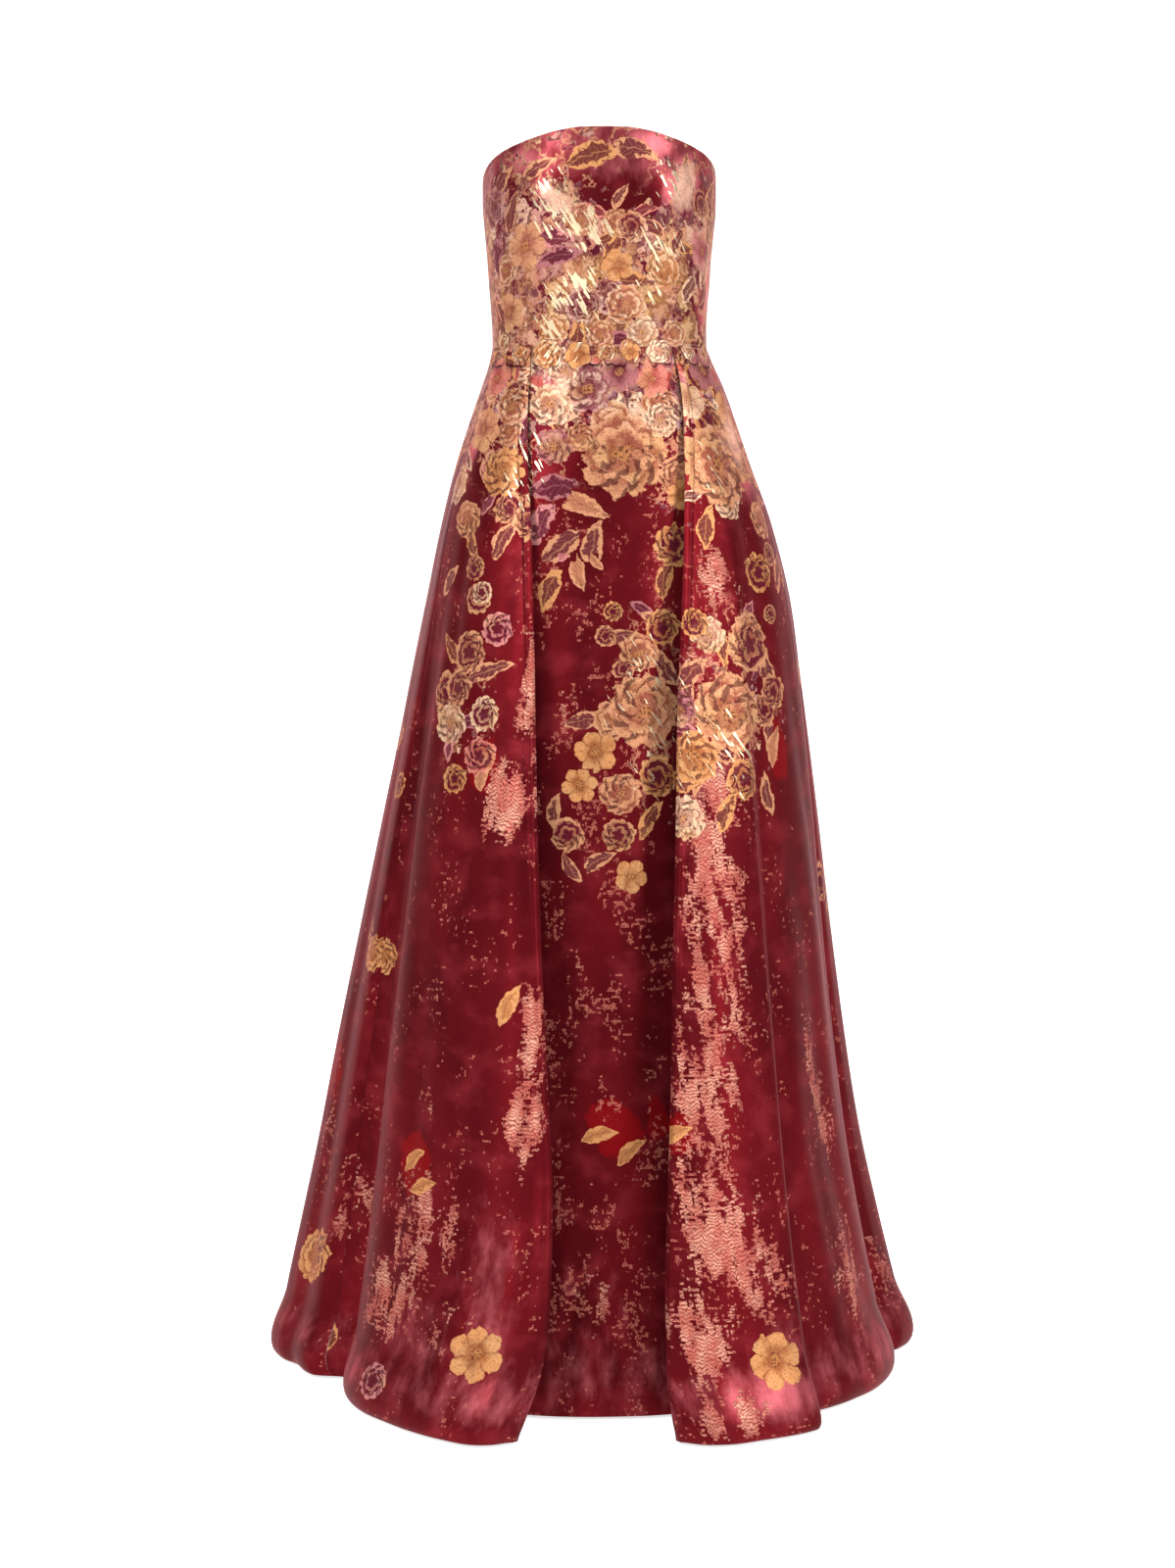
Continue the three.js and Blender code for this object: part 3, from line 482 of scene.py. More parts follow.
class Panel:
    """One cut piece of cloth: a grid of places, columns round the body and rows running down."""

    def __init__(self, name, slot, start, end, rows, radius_at, height_at, wall, step, width, creases):
        self.name, self.slot, self.wall = name, slot, wall
        shares = shares_of(width, step)
        gap = np.degrees(STITCH_GAP / 2 / STITCH_RADIUS)
        first, last = start(rows) + gap, end(rows) - gap
        self.turn = first[None, :] + shares[:, None] * (last - first)[None, :]
        self.drop = np.broadcast_to(rows[None, :], self.turn.shape)
        self.height = height_at(self.turn, self.drop)
        radius = radius_at(self.turn, self.drop)
        self.points = polar(self.turn, radius, self.height)
        self.level = -self.height
        self.relief = crease_relief(creases, self.turn, self.level, radius)
        self.measure()

    def measure(self):
        across = np.linalg.norm(np.diff(self.points, axis=0), axis=-1)
        run = np.concatenate([np.zeros((1, across.shape[1])), np.cumsum(across, axis=0)])
        self.from_start, self.to_end = run, run[-1:] - run
        middle = len(run) // 2
        self.across = run - run[middle : middle + 1]
        down = np.linalg.norm(np.diff(self.points[middle], axis=0), axis=-1)
        self.down = np.broadcast_to(np.concatenate([[0], np.cumsum(down)])[None, :], self.across.shape)

    def raise_by(self, relief):
        """Moves the outer face straight out from the axis by a height in millimetres."""
        self.points = self.points + polar(self.turn, relief, 0.0)

    def seam_roll(self, sides):
        """Lets the cloth dip into the seams on the named sides."""
        dip = np.zeros(self.turn.shape)
        for side in sides:
            away = self.from_start if side == "start" else self.to_end
            dip -= SEAM_ROLL["fall"] * np.clip(1 - away / SEAM_ROLL["width"], 0, 1) ** 2
        return dip

    def flat_area(self):
        a = self.points[1:, :-1] - self.points[:-1, :-1]
        b = self.points[:-1, 1:] - self.points[:-1, :-1]
        return float(np.linalg.norm(np.cross(a, b), axis=-1).sum())


def store(mesh, name, domain, values):
    """Keeps three numbers for each point or corner of a mesh, for its material to read."""
    mesh.attributes.new(name, "FLOAT_VECTOR", domain).data.foreach_set("vector", values.ravel())


def linked(name, mesh):
    piece = bpy.data.objects.new(name, mesh)
    bpy.context.collection.objects.link(piece)
    return piece


def shell(panel, materials):
    """The panel as a closed thin wall with rounded edges, its reverse in its own material."""
    outer = panel.points
    normal = normals_of(outer)
    normal[..., 2] = 0
    normal /= np.linalg.norm(normal, axis=-1, keepdims=True)
    inner = outer - normal * panel.wall
    columns, rows = outer.shape[:2]
    count = columns * rows
    number = np.arange(count).reshape(columns, rows)
    rim = np.concatenate([number[:-1, 0], number[-1, :-1], number[:0:-1, -1], number[0, :0:-1]])
    flat_outer, flat_inner = outer.reshape(-1, 3), inner.reshape(-1, 3)
    inward = np.concatenate([number[:-1, 1], number[-2, :-1], number[:0:-1, -2], number[1, :0:-1]])
    outward = flat_outer[rim] - flat_outer[inward]
    outward /= np.linalg.norm(outward, axis=-1, keepdims=True) + 1e-9
    middle = (flat_outer[rim] + flat_inner[rim]) / 2 + outward * EDGE_ROUND
    points = np.concatenate([flat_outer, flat_inner, middle]) * MM
    a, b, c, d = number[:-1, :-1], number[:-1, 1:], number[1:, 1:], number[1:, :-1]
    front = np.stack([a, b, c, d], -1).reshape(-1, 4)
    back = np.stack([a, d, c, b], -1).reshape(-1, 4) + count
    edge = 2 * count + np.arange(len(rim))
    following = np.roll(rim, -1)
    edge_following = np.roll(edge, -1)
    lip = np.stack([following, rim, edge, edge_following], -1)
    lining = np.stack([edge_following, edge, rim + count, following + count], -1)
    faces = np.concatenate([front, back, lip, lining])
    mesh = bpy.data.meshes.new(panel.name)
    mesh.vertices.add(len(points))
    mesh.vertices.foreach_set("co", points.ravel())
    mesh.loops.add(faces.size)
    mesh.loops.foreach_set("vertex_index", faces.ravel())
    mesh.polygons.add(len(faces))
    mesh.polygons.foreach_set("loop_start", np.arange(0, faces.size, 4))
    mesh.polygons.foreach_set("use_smooth", np.ones(len(faces), bool))
    slots = np.zeros(len(faces), int)
    slots[len(front) : len(front) + len(back)] = 1
    for material in materials:
        mesh.materials.append(material)
    mesh.polygons.foreach_set("material_index", slots)
    mesh.update(calc_edges=True)
    mesh.validate()
    source = np.concatenate([np.arange(count), np.arange(count), rim])
    place = np.stack([panel.across.ravel(), panel.down.ravel()], -1)[source] * MM
    layer = mesh.uv_layers.new(name="cut")
    layer.data.foreach_set("uv", place[faces.ravel()].ravel())
    for name, values in panel.zones.items():
        store(mesh, name, "POINT", values.reshape(-1, 3)[source])
    for name, motifs in panel.motifs.items():
        corners = motif_corners(panel, motifs)
        values = np.full((faces.size, 3), FAR_AWAY)
        values[: len(corners)] = corners
        store(mesh, name, "CORNER", values)
    return linked(panel.name + "_cloth", mesh)


# Layout of the pattern on a panel


def nearest_place(panel, turn, drop):
    """Column and row of the panel nearest to a turn and a level."""
    gap = (np.radians(panel.turn - turn) * SKIRT_RADIUS) ** 2 + (panel.level - drop) ** 2
    return np.unravel_index(np.argmin(gap), gap.shape), float(np.sqrt(gap.min()))


def scattered(panel, density, tries, sizes, kinds, rng, taken, crowd):
    """Motifs spread over a panel where the density is high, none crowding another."""
    weights = density.ravel()
    picks = rng.choice(weights.size, size=tries, p=weights / weights.sum())
    found = []
    for pick in picks:
        i, j = np.unravel_index(pick, density.shape)
        size = rng.uniform(*sizes)
        x, y = panel.across[i, j], panel.down[i, j]
        code = rng.choice(FILL_COLOURS) + rng.choice(kinds) + rng.uniform(*SEED_RANGE)
        spin = rng.uniform(0, 360)
        if all(math.hypot(x - m[0], y - m[1]) > crowd * (size + m[2]) for m in taken + found):
            found.append((x, y, size, code, spin))
    return found


def motif_corners(panel, motifs):
    """For each corner of each face of the outer grid, its place in the face's nearest motif, in motif
    radii, and that motif's code. A face belongs to one motif only, so its drawing never blends."""
    cut = np.stack([panel.across, panel.down], -1)
    corners = np.stack([cut[:-1, :-1], cut[:-1, 1:], cut[1:, 1:], cut[1:, :-1]], 2).reshape(-1, 4, 2)
    middle = corners.mean(1)
    values = np.full((len(corners), 4, 3), FAR_AWAY)
    best = np.full(len(corners), MOTIF_REACH)
    for x, y, size, code, spin in motifs:
        away = np.hypot(middle[:, 0] - x, middle[:, 1] - y) / size
        near = away < best
        offset = corners[near] - (x, y)
        sine, cosine = math.sin(math.radians(spin)), math.cos(math.radians(spin))
        values[near, :, 0] = (offset[..., 0] * cosine - offset[..., 1] * sine) / size
        values[near, :, 1] = (offset[..., 0] * sine + offset[..., 1] * cosine) / -size
        values[near, :, 2] = code
        best[near] = away[near]
    return values.reshape(-1, 3)


def placed(panel, motifs, rng):
    """The listed motifs that fall on a panel."""
    found = []
    for turn, drop, size, colour, kind, spin in rows_of(motifs):
        (i, j), gap = nearest_place(panel, turn, drop)
        if gap < 0.6 * size:
            code = colour + kind + rng.uniform(*SEED_RANGE)
            found.append((panel.across[i, j], panel.down[i, j], size, code, spin))
    return found


def waist_line(turn):
    """How far below the waist the edge of the cut-round flowers hangs, an uneven row of scallops."""
    wander = 0.9 * np.sin(np.radians(turn * 23)) + 0.5 * np.sin(np.radians(turn * 7 + 40))
    return 3.0 + 18.0 * np.abs(np.sin(np.radians(turn * 8.5) + wander)) ** 0.8


def bump_at(value, centre, reach):
    return np.exp(-(((value - centre) / reach) ** 2))


def spots_of(zones, turn, level):
    """Soft round spots at every place of a panel, one after another."""
    for centre, drop, reach, height, weight in rows_of(zones):
        yield weight * bump_at(turn, centre, reach) * bump_at(level, drop, height)


def hem_sheen(turn, level, family):
    """Painted highlight: a pale band of sheen painted just above the hem, a little stronger on the lobes
    of the overskirt.
    """
    lobes = sum(bump_at(turn, centre, HEM_SHEEN["lobe_reach"]) for centre in HEM_LOBES)
    share = 0.42 if family == "underskirt" else 0.4 + 0.1 * np.clip(lobes, 0, 1)
    return share * bump_at(level, HEM_SHEEN["drop"], HEM_SHEEN["reach"])


def bust_sheen(turn, level):
    """Painted highlight: slanting bands of satin sheen painted over the bust, and a paler top edge painted
    the same way.
    """
    left = 1.35 * bump_at(1.5 * turn - level, 120, 22) * bump_at(level, -152, 40) * bump_at(turn, -24, 17)
    right = 1.35 * bump_at(turn + 0.1 * level, 24, 12) * bump_at(level, -172, 40)
    return np.maximum.reduce([left, right, 0.5 * np.clip((-level - 150) / 40, 0, 1)])


def lay_pattern(panel, family, seed):
    """Motif places and zone strengths of a panel, as layers for its material."""
    rng = np.random.default_rng(seed)
    fill = FILL[family]
    floral = zone_sum(FLORAL_BANDS, panel.turn, panel.level)
    dense = np.clip(floral, 0.0, 1) ** 2 + fill["sparse"]
    if family == "bodice":
        bare = bump_at(panel.turn, 68, 12) * bump_at(panel.level, -45, 40)
        dense = dense * (panel.level > -150) * (1 - bare)
    tries, sizes = fill["tries"], fill["sizes"]
    blooms = placed(panel, BLOOMS[family], rng)
    blooms += scattered(panel, dense, tries, sizes, (SIMPLE, PEONY, OUTLINED), rng, blooms, BLOOM_CROWD)
    second = scattered(panel, dense, tries, sizes, (PEONY, OUTLINED), rng, [], BLOOM_CROWD)
    leaves = placed(panel, LEAVES[family], rng)
    leaves += scattered(panel, dense, tries, sizes, (HOLLOW, HOLLOW, SOLID), rng, leaves, LEAF_CROWD)
    under = scattered(panel, dense, tries, sizes, (HOLLOW,), rng, [], LEAF_CROWD)
    panel.motifs = {"bloom_top": blooms, "bloom_under": second, "leaf_top": leaves, "leaf_under": under}
    level, turn = panel.level, panel.turn
    blank = np.zeros(level.shape)
    streaks = zone_sum(STREAK_ZONES, turn, level)
    if family == "bodice":
        floats = blank
        coral = 0.3 + blank
        hip = 1.0 - 0.58 * np.clip((-level - 125) / 70, 0, 1) - sum(spots_of(BODICE_BARE, turn, level))
        pink = bust_sheen(turn, level)
    else:
        floats = 1.12 * zone_sum(UNDER_FLOAT_ZONES if family == "underskirt" else FLOAT_ZONES, turn, level)
        coral = bump_at(level, 28, 50)
        hip = np.maximum(bump_at(level, 30, 90), 0.55 * floral)
        pink = hem_sheen(turn, level, family)
    # Painted sheen on the lower underskirt, growing towards the hem
    if family == "underskirt":
        pink = np.maximum(pink, 0.32 * np.clip((level - 760) / 300, 0, 1))
    pink = np.maximum.reduce([pink, *spots_of(GLOWS[family], turn, level)])
    flecks = fill["flecks"] * np.clip((level + 20) / 260, 0.3, 1)
    ground = 0.85 * bump_at(level, -60, 120) if family == "bodice" else 0.4 * bump_at(level, 20, 80)
    # The first tone carries the painted sheen; the second wash, the drop below the waist scallops in
    # centimetres, places the painted shadow line
    panel.zones = {
        "zones": np.stack([floats, flecks, streaks], -1),
        "washes": np.stack([hip, (level - waist_line(turn)) / 10, coral], -1),
        "tones": np.stack([pink, ground + blank, zone_sum(CRIMSON_ZONES, turn, level)], -1),
    }


# Materials


def srgb(code):
    """A hex colour as linear RGBA."""
    parts = [int(code[i : i + 2], 16) / 255 for i in (1, 3, 5)]
    return tuple(c / 12.92 if c <= 0.04045 else ((c + 0.055) / 1.055) ** 2.4 for c in parts) + (1.0,)


WINE_DEEP = srgb("#4C0C12")
WINE = srgb("#6A131A")
WINE_LIGHT = srgb("#86272F")
# Colours of the painted satin sheen and the painted highlight
PAINTED_SHEEN_PINK = srgb("#CE6A72")
PAINTED_HIGHLIGHT_PALE = srgb("#F0BCA4")
CRIMSON = srgb("#860E12")
PINK_FLOAT = srgb("#CC7666")
PINK_PALE = srgb("#EDB096")
# Dark colour of the drawn lines in the flowers and leaves, also used for the painted shade under the waist
# flowers
INK_AND_PAINTED_SHADE = srgb("#3A0F1A")
PLUM = srgb("#521A2C")
GOLD_THREAD = srgb("#F2DCB4")
REVERSE = srgb("#5E1E26")
WINE_SHEEN = srgb("#A8484E")
PEACH_SHEEN = srgb("#D89A84")
SHEEN_ROSE = srgb("#C8545F")
GILT_DEEP = srgb("#8C5836")
GILT_LIGHT = srgb("#CA9A6A")
PETAL_PALE = srgb("#F0D8BC")
CLOUD_PALE = srgb("#F0D2B8")
HEART_GOLD = srgb("#C08650")
CORAL_RED = srgb("#C04A3E")
BRONZE = srgb("#BC8850")
FLOAT_SHADOW = srgb("#8E3C38")
STEM_ROSE = srgb("#B87A60")
WORN_BROWN = srgb("#6A2C1C")
REVERSE_LIGHT = srgb("#8A4A44")
BRASS_DEEP = srgb("#A98350")
BRASS_LIGHT = srgb("#CDA66C")
WHITE = (1, 1, 1, 1)
PETAL_LIGHT = ["#DFB896", "#CE926C", "#CC8480", "#AA6A6C", "#D0925E", "#CC7A6C"]
PETAL_DEEP = ["#A87460", "#92503E", "#94464E", "#6A2E36", "#985834", "#A0443E"]
PETAL_LINE = ["#4A1A26", "#4A1820", "#E0B898", "#D9B8A4", "#442014", "#E2B090"]
HIP_PETALS = ["#CD9670", "#99606E", "#C46A58", "#DDB898", "#6E2236", "#B87A52", "#A8707C"]
BODICE_PETALS = ["#A46A42", "#B8765C", "#8E4240", "#B6844E", "#A65654", "#C6907A", "#7A2630"]


class Value:
    """A value in the wiring of a material. A sign between two values adds the node that works it out."""

    def __init__(self, wires, socket):
        self.wires, self.socket = wires, socket

    def __add__(self, other):
        return self.wires.math("ADD", self, other)

    def __sub__(self, other):
        return self.wires.math("SUBTRACT", self, other)

    def __rsub__(self, other):
        return self.wires.math("SUBTRACT", other, self)

    def __mul__(self, other):
        return self.wires.math("MULTIPLY", self, other)

    def __truediv__(self, other):
        return self.wires.math("DIVIDE", self, other)

    def __pow__(self, other):
        return self.wires.math("POWER", self, other)

    def __abs__(self):
        return self.wires.math("ABSOLUTE", self)

    __radd__ = __add__
    __rmul__ = __mul__


class Wires:
    """Adds and joins the nodes of one material or node group."""

    def __init__(self, tree):
        self.tree = tree

    def add(self, kind, **settings):
        node = self.tree.nodes.new(kind)
        for key, value in settings.items():
            setattr(node, key, value)
        return node

    def feed(self, socket, value):
        if isinstance(value, Value):
            self.tree.links.new(value.socket, socket)
        else:
            socket.default_value = value

    def fed(self, node, values, output=0):
        """Feeds the first inputs of a node in their order and gives one output."""
        for socket, value in zip(node.inputs, values):
            self.feed(socket, value)
        return Value(self, node.outputs[output])

    def outputs(self, node):
        return {socket.name: Value(self, socket) for socket in node.outputs}

    def math(self, operation, *values, clamp=False):
        return self.fed(self.add("ShaderNodeMath", operation=operation, use_clamp=clamp), values)

    def larger(self, a, b):
        return self.math("MAXIMUM", a, b)

    def smaller(self, a, b):
        return self.math("MINIMUM", a, b)

    def sine(self, value):
        return self.math("SINE", value)

    def whole(self, value):
        return self.math("FLOOR", value)

    def fraction(self, value):
        return self.math("FRACT", value)

    def vector(self, operation, *values):
        return self.fed(self.add("ShaderNodeVectorMath", operation=operation), values, "Vector")

    def stretched(self, vector, stretch):
        """A place with its X, Y and, where it is given, Z multiplied."""
        return self.vector("MULTIPLY", vector, tuple(stretch) + (1,) * (3 - len(stretch)))

    def split(self, vector):
        node = self.add("ShaderNodeSeparateXYZ")
        self.feed(node.inputs[0], vector)
        return [Value(self, socket) for socket in node.outputs]

    def join(self, x, y, z):
        return self.fed(self.add("ShaderNodeCombineXYZ"), (x, y, z))

    def mix(self, share, low, high, blend="MIX"):
        node = self.add("ShaderNodeMix", data_type="RGBA", blend_type=blend)
        self.feed(node.inputs["Factor"], share)
        self.feed(node.inputs[6], low)
        self.feed(node.inputs[7], high)
        return Value(self, node.outputs[2])

    def between(self, value, low, high, to_low=0, to_high=1, kind="SMOOTHSTEP"):
        """Ramp from one value to another."""
        node = self.add("ShaderNodeMapRange", interpolation_type=kind)
        return self.fed(node, (value, low, high, to_low, to_high))

    def noise(self, vector, stretch, detail=2, roughness=0.5, output=0):
        node = self.add("ShaderNodeTexNoise", noise_dimensions="3D")
        self.feed(node.inputs["Vector"], self.stretched(vector, stretch))
        self.feed(node.inputs["Scale"], 1)
        self.feed(node.inputs["Detail"], detail)
        self.feed(node.inputs["Roughness"], roughness)
        return Value(self, node.outputs[output])

    def cells(self, vector, feature):
        node = self.add("ShaderNodeTexVoronoi", voronoi_dimensions="2D", feature=feature)
        self.feed(node.inputs["Vector"], vector)
        self.feed(node.inputs["Scale"], 1)
        return self.outputs(node)

    def steps(self, value, colours):
        """One of several colours for the whole numbers from 0 up."""
        node = self.add("ShaderNodeValToRGB")
        node.color_ramp.interpolation = "CONSTANT"
        stops = node.color_ramp.elements
        while len(stops) < len(colours):
            stops.new(1.0)
        for i, colour in enumerate(colours):
            stops[i].position = i / len(colours)
            stops[i].color = srgb(colour)
        return self.fed(node, [(value + 0.5) / len(colours)])

    def cut(self):
        """The place on the flat cloth as it was cut, in metres."""
        return Value(self, self.add("ShaderNodeUVMap", uv_map="cut").outputs[0])

    def layer(self, name):
        return Value(self, self.add("ShaderNodeAttribute", attribute_name=name).outputs["Vector"])

    def use(self, group, **inputs):
        node = self.add("ShaderNodeGroup", node_tree=group)
        for key, value in inputs.items():
            self.feed(node.inputs[key], value)
        return self.outputs(node)


STREAK_SLANT = -58
NUMBER, VECTOR = "NodeSocketFloat", "NodeSocketVector"
CUT_ONLY = {"Cut": VECTOR}
CUT_AND_STRENGTH = {"Cut": VECTOR, "Strength": NUMBER}
CUT_AND_WOBBLE = {"Cut": VECTOR, "Wobble": VECTOR}
PLACE_AND_WOBBLE = {"Place": VECTOR, "Wobble": VECTOR}


def new_group(name, inputs, outputs):
    """A node group, with its wires, its inputs by name and the sockets that its output masks go to."""
    group = bpy.data.node_groups.new(name, "ShaderNodeTree")
    for key, kind in inputs.items():
        group.interface.new_socket(key, in_out="INPUT", socket_type=kind)
    for key in outputs.split():
        group.interface.new_socket(key, in_out="OUTPUT", socket_type=NUMBER)
    wires = Wires(group)
    return group, wires, wires.outputs(wires.add("NodeGroupInput")), wires.add("NodeGroupOutput").inputs


def petal_ring(w, angle, radius, seed, petals, size, notch, shift):
    """Distance inside a scalloped ring of petals, and how near its notches a place is."""
    phase = seed * shift + angle * petals
    wave = abs(w.sine(phase)) ** 0.6
    limit = wave * notch + (size - notch)
    return limit - radius, wave


def slivers(w, angle, radius, seed, half_count, low, high, shift):
    """Dark pointed gaps between curling petals, from one radius to another."""
    curl = radius * 1.7 + (seed * shift + angle)
    wave = abs(w.sine(curl * half_count))
    width = w.sine(w.between(radius, low, high, 0, math.pi, "LINEAR")) * 0.72
    return w.between(width - wave, 0, 0.08)


def warped(w, place, wobble):
    x, y, code = w.split(place)
    wobble_x, wobble_y, grain = w.split(wobble)
    return x + wobble_x, y + wobble_y, code, grain


def bloom_group():
    """A flower drawn round the middle of its place, which is in flower radii. Its code gives its kind."""
    group, w, get, out = new_group("woven_bloom", PLACE_AND_WOBBLE, "Cover Shade Ink Line Heart Rim Pale")
    x, y, code, grain = warped(w, get["Place"], get["Wobble"])
    seed = w.fraction(code)
    simple = w.math("LESS_THAN", code, float(PEONY))
    full = 1 - simple
    outlined = w.math("GREATER_THAN", code, float(OUTLINED))
    radius = w.math("SQRT", x * x + y * y)
    angle = w.math("ARCTAN2", y, x)
    count = w.whole(seed * 1.99 + (full * 5 + 5))
    notch = full * -0.14 + 0.26
    outer, wave = petal_ring(w, angle, radius, seed, count * 0.5, 0.95, notch, 0)
    middle, _ = petal_ring(w, angle, radius, seed, 3.5, 0.68, 0.17, 5)
    inner, _ = petal_ring(w, angle, radius, seed, 2.5, 0.42, 0.13, 11)
    cover = w.between(grain * full * 0.5 + outer, 0, 0.035)
    shadow = w.between(middle * -1, -0.05, 0.16, 0.1, 1) * w.between(outer, 0.3, 0, 0.5, 1)
    under = w.between(middle, 0, 0.03)
    shadow_mid = w.between(inner * -1, -0.04, 0.16, 0.15, 1)
    shade_full = under * shadow_mid + (1 - under) * shadow
    veins = abs(w.sine((grain + seed) * 6 + angle * 26))
    shade_simple = w.between(radius, 0.1, 0.7, 0, 1) * w.between(wave, 0, 0.7, 0.3, 1)
    shade_simple = shade_simple - w.between(veins, 0.86, 1) * 0.28
    shade = simple * shade_simple + full * shade_full
    shade = w.math("MULTIPLY_ADD", grain, 2.2, shade, clamp=True)
    outer_gaps = slivers(w, angle, radius, seed, 4.5, 0.44, 0.97, 3)
    inner_gaps = slivers(w, angle, radius, seed, 3.5, 0.22, 0.6, 8)
    side = w.sine(seed * 20 + angle) * 0.13 + grain
    gaps = w.larger(outer_gaps, inner_gaps) * full * w.between(side, -0.03, 0.01)
    slit = w.between(wave, 0.2, 0.3, 1, 0) * w.between(radius, 0.34, 0.44)
    line = w.between(abs(middle), 0.008, 0.03, 1, 0)
    line = w.larger(line, w.between(abs(inner), 0.008, 0.034, 1, 0))
    line = w.larger(line * full, slit * simple)
    line = line * w.between(grain, -0.16, 0.02, 0.2, 1)
    edge = w.between(abs(outer), 0.01, 0.04, 0.6, 0)
    heart = w.between(grain * 0.4 + radius, 0.13, 0.2, 1, 0)
    dots = w.sine(x * 34) * w.sine(y * 30)
    stamens = w.between(radius, 0.2, 0.26, 1, 0) * w.between(dots, 0.2, 0.4)
    rim = w.between(outer - (wave * 0.24 + 0.04), 0, 0.03, 1, 0)
    crescent = w.between(side, -0.06, 0, 0, 1)
    rim = w.larger(rim, w.between(abs(middle), 0.05, 0.08, 1, 0) * crescent)
    rim = w.larger(rim, w.between(abs(inner), 0.06, 0.1, 1, 0))
    rim = w.larger(rim, 1 - outlined)
    w.feed(out["Cover"], cover)
    w.feed(out["Shade"], shade)
    w.feed(out["Pale"], w.between(shade, 0.7, 1, 0, 0.55) * full)
    w.feed(out["Ink"], w.larger(gaps, stamens))
    w.feed(out["Line"], w.larger(line, edge))
    w.feed(out["Heart"], heart)
    w.feed(out["Rim"], rim)
    return group


def leaf_group():
    """A pointed leaf along the X of its place, with a rim, a rib and slanting veins."""
    group, w, get, out = new_group("woven_leaf", PLACE_AND_WOBBLE, "Cover Rim Rib Solid")
    x, y, code, grain = warped(w, get["Place"], get["Wobble"])
    square = w.smaller(x * x, 1)
    y = abs(square * 0.16 + y)
    bulge = (1 - square) * (x * -0.1 + 0.38)
    inside = bulge - y
    veins = w.fraction((x + y) * 4.5)
    rib = w.larger(w.between(y, 0.012, 0.035, 1, 0), w.between(veins, 0.06, 0.16, 0.6, 0))
    w.feed(out["Cover"], w.between(inside, 0, 0.03))
    w.feed(out["Rim"], w.between(grain * 0.9 + inside, 0.11, 0.16, 1, 0))
    w.feed(out["Rib"], rib * w.between(grain, -0.2, 0.1, 0.4, 1))
    w.feed(out["Solid"], w.math("GREATER_THAN", code, float(SOLID)))
    return group


def float_group():
    """Brushed floats of loose weft: ragged upright patches with level ridges, stepped by the weave."""
    group, w, get, out = new_group("weft_floats", CUT_AND_STRENGTH, "Cover Ridge")
    stepped = w.vector("SNAP", get["Cut"], (0.0022, 0.0028, 1))
    patch = w.noise(stepped, (46, 15), 5, 0.7)
    teeth = w.noise(stepped, (130, 330), 1)
    ragged = (teeth - 0.5) * 0.4 + patch
    limit = get["Strength"] * -0.38 + 0.81
    cover = w.between(ragged - limit, 0, 0.02)
    bend = w.noise(get["Cut"], (170, 60), 2)
    level = w.split(get["Cut"])[1]
    wave = w.sine(bend * 24 + level * 1500)
    depth = w.between(teeth, 0.3, 0.6, 0.2, 0.5)
    w.feed(out["Cover"], cover * w.between(patch, 0.38, 0.56, 0.45, 1))
    w.feed(out["Ridge"], wave * depth + 0.5)
    return group


def fleck_group():
    """Small stepped flecks of pink weft, gathered in loose clumps."""
    group, w, get, out = new_group("weft_flecks", CUT_AND_STRENGTH, "Cover")
    stepped = w.vector("SNAP", get["Cut"], (0.0016, 0.0024, 1))
    specks = w.noise(stepped, (150, 170), 2, 0.6)
    clumps = w.noise(get["Cut"], (24, 13), 3, 0.62)
    here = w.between(clumps, 0.46, 0.62) * get["Strength"]
    strokes = w.noise(get["Cut"], (700, 420), 0)
    cover = w.between(here * 0.14 + specks, 0.65, 0.68) * w.between(here, 0.12, 0.3)
    w.feed(out["Cover"], cover * w.between(strokes, 0.36, 0.55, 0.2, 1))
    return group


def petal_cloud_group():
    """Crowded petals behind the flowers: soft cells with dark gaps and a number for their colour."""
    group, w, get, out = new_group("petal_cloud", CUT_AND_WOBBLE, "Cell Shade Gap")
    sway = w.stretched(get["Wobble"], (5.2, 5.2, 0))
    place = w.vector("ADD", w.stretched(get["Cut"], (46, 31)), sway)
    cells = w.cells(place, "F1")
    to_edge = w.cells(place, "DISTANCE_TO_EDGE")["Distance"]
    tint = w.split(cells["Color"])
    grain = w.split(get["Wobble"])[2]
    fan = tint[1] * 6 + cells["Distance"] * 9
    shade = w.sine(fan) * 0.35 + w.between(to_edge, 0.02, 0.3)
    w.feed(out["Cell"], tint[0] * 6.99)
    w.feed(out["Shade"], w.math("MULTIPLY_ADD", grain, 2.6, shade, clamp=True))
    opening = w.between(tint[2] * 0.1 + grain, 0.02, 0.16, 0, 0.2)
    w.feed(out["Gap"], w.between(to_edge - opening, 0, 0.04, 1, 0))
    return group


def stem_group():
    """Thin curving stems that join the leaves and buds."""
    group, w, get, out = new_group("stems", CUT_AND_WOBBLE, "Cover")
    sway = w.stretched(get["Wobble"], (2.6, 2.6, 0))
    place = w.vector("ADD", w.stretched(get["Cut"], (26, 17)), sway)
    to_edge = w.cells(place, "DISTANCE_TO_EDGE")["Distance"]
    grain = w.split(get["Wobble"])[2]
    w.feed(out["Cover"], w.between(grain * 0.12 + to_edge, 0.03, 0.05, 1, 0))
    return group


def streak_group():
    """Broken slanting threads of metallic gold."""
    group, w, get, out = new_group("gold_streaks", CUT_AND_STRENGTH, "Cover")
    turned = w.add("ShaderNodeVectorRotate", rotation_type="Z_AXIS")
    turned.inputs["Angle"].default_value = math.radians(STREAK_SLANT)
    threads = w.noise(w.fed(turned, [get["Cut"]]), (36, 240), 2, 0.5)
    clumps = w.noise(get["Cut"], (60, 60), 2)
    strength = get["Strength"] * w.between(clumps, 0.34, 0.56)
    cover = w.between(strength * 0.25 + threads, 0.7, 0.74)
    w.feed(out["Cover"], cover * w.between(strength, 0.08, 0.3))
    return group


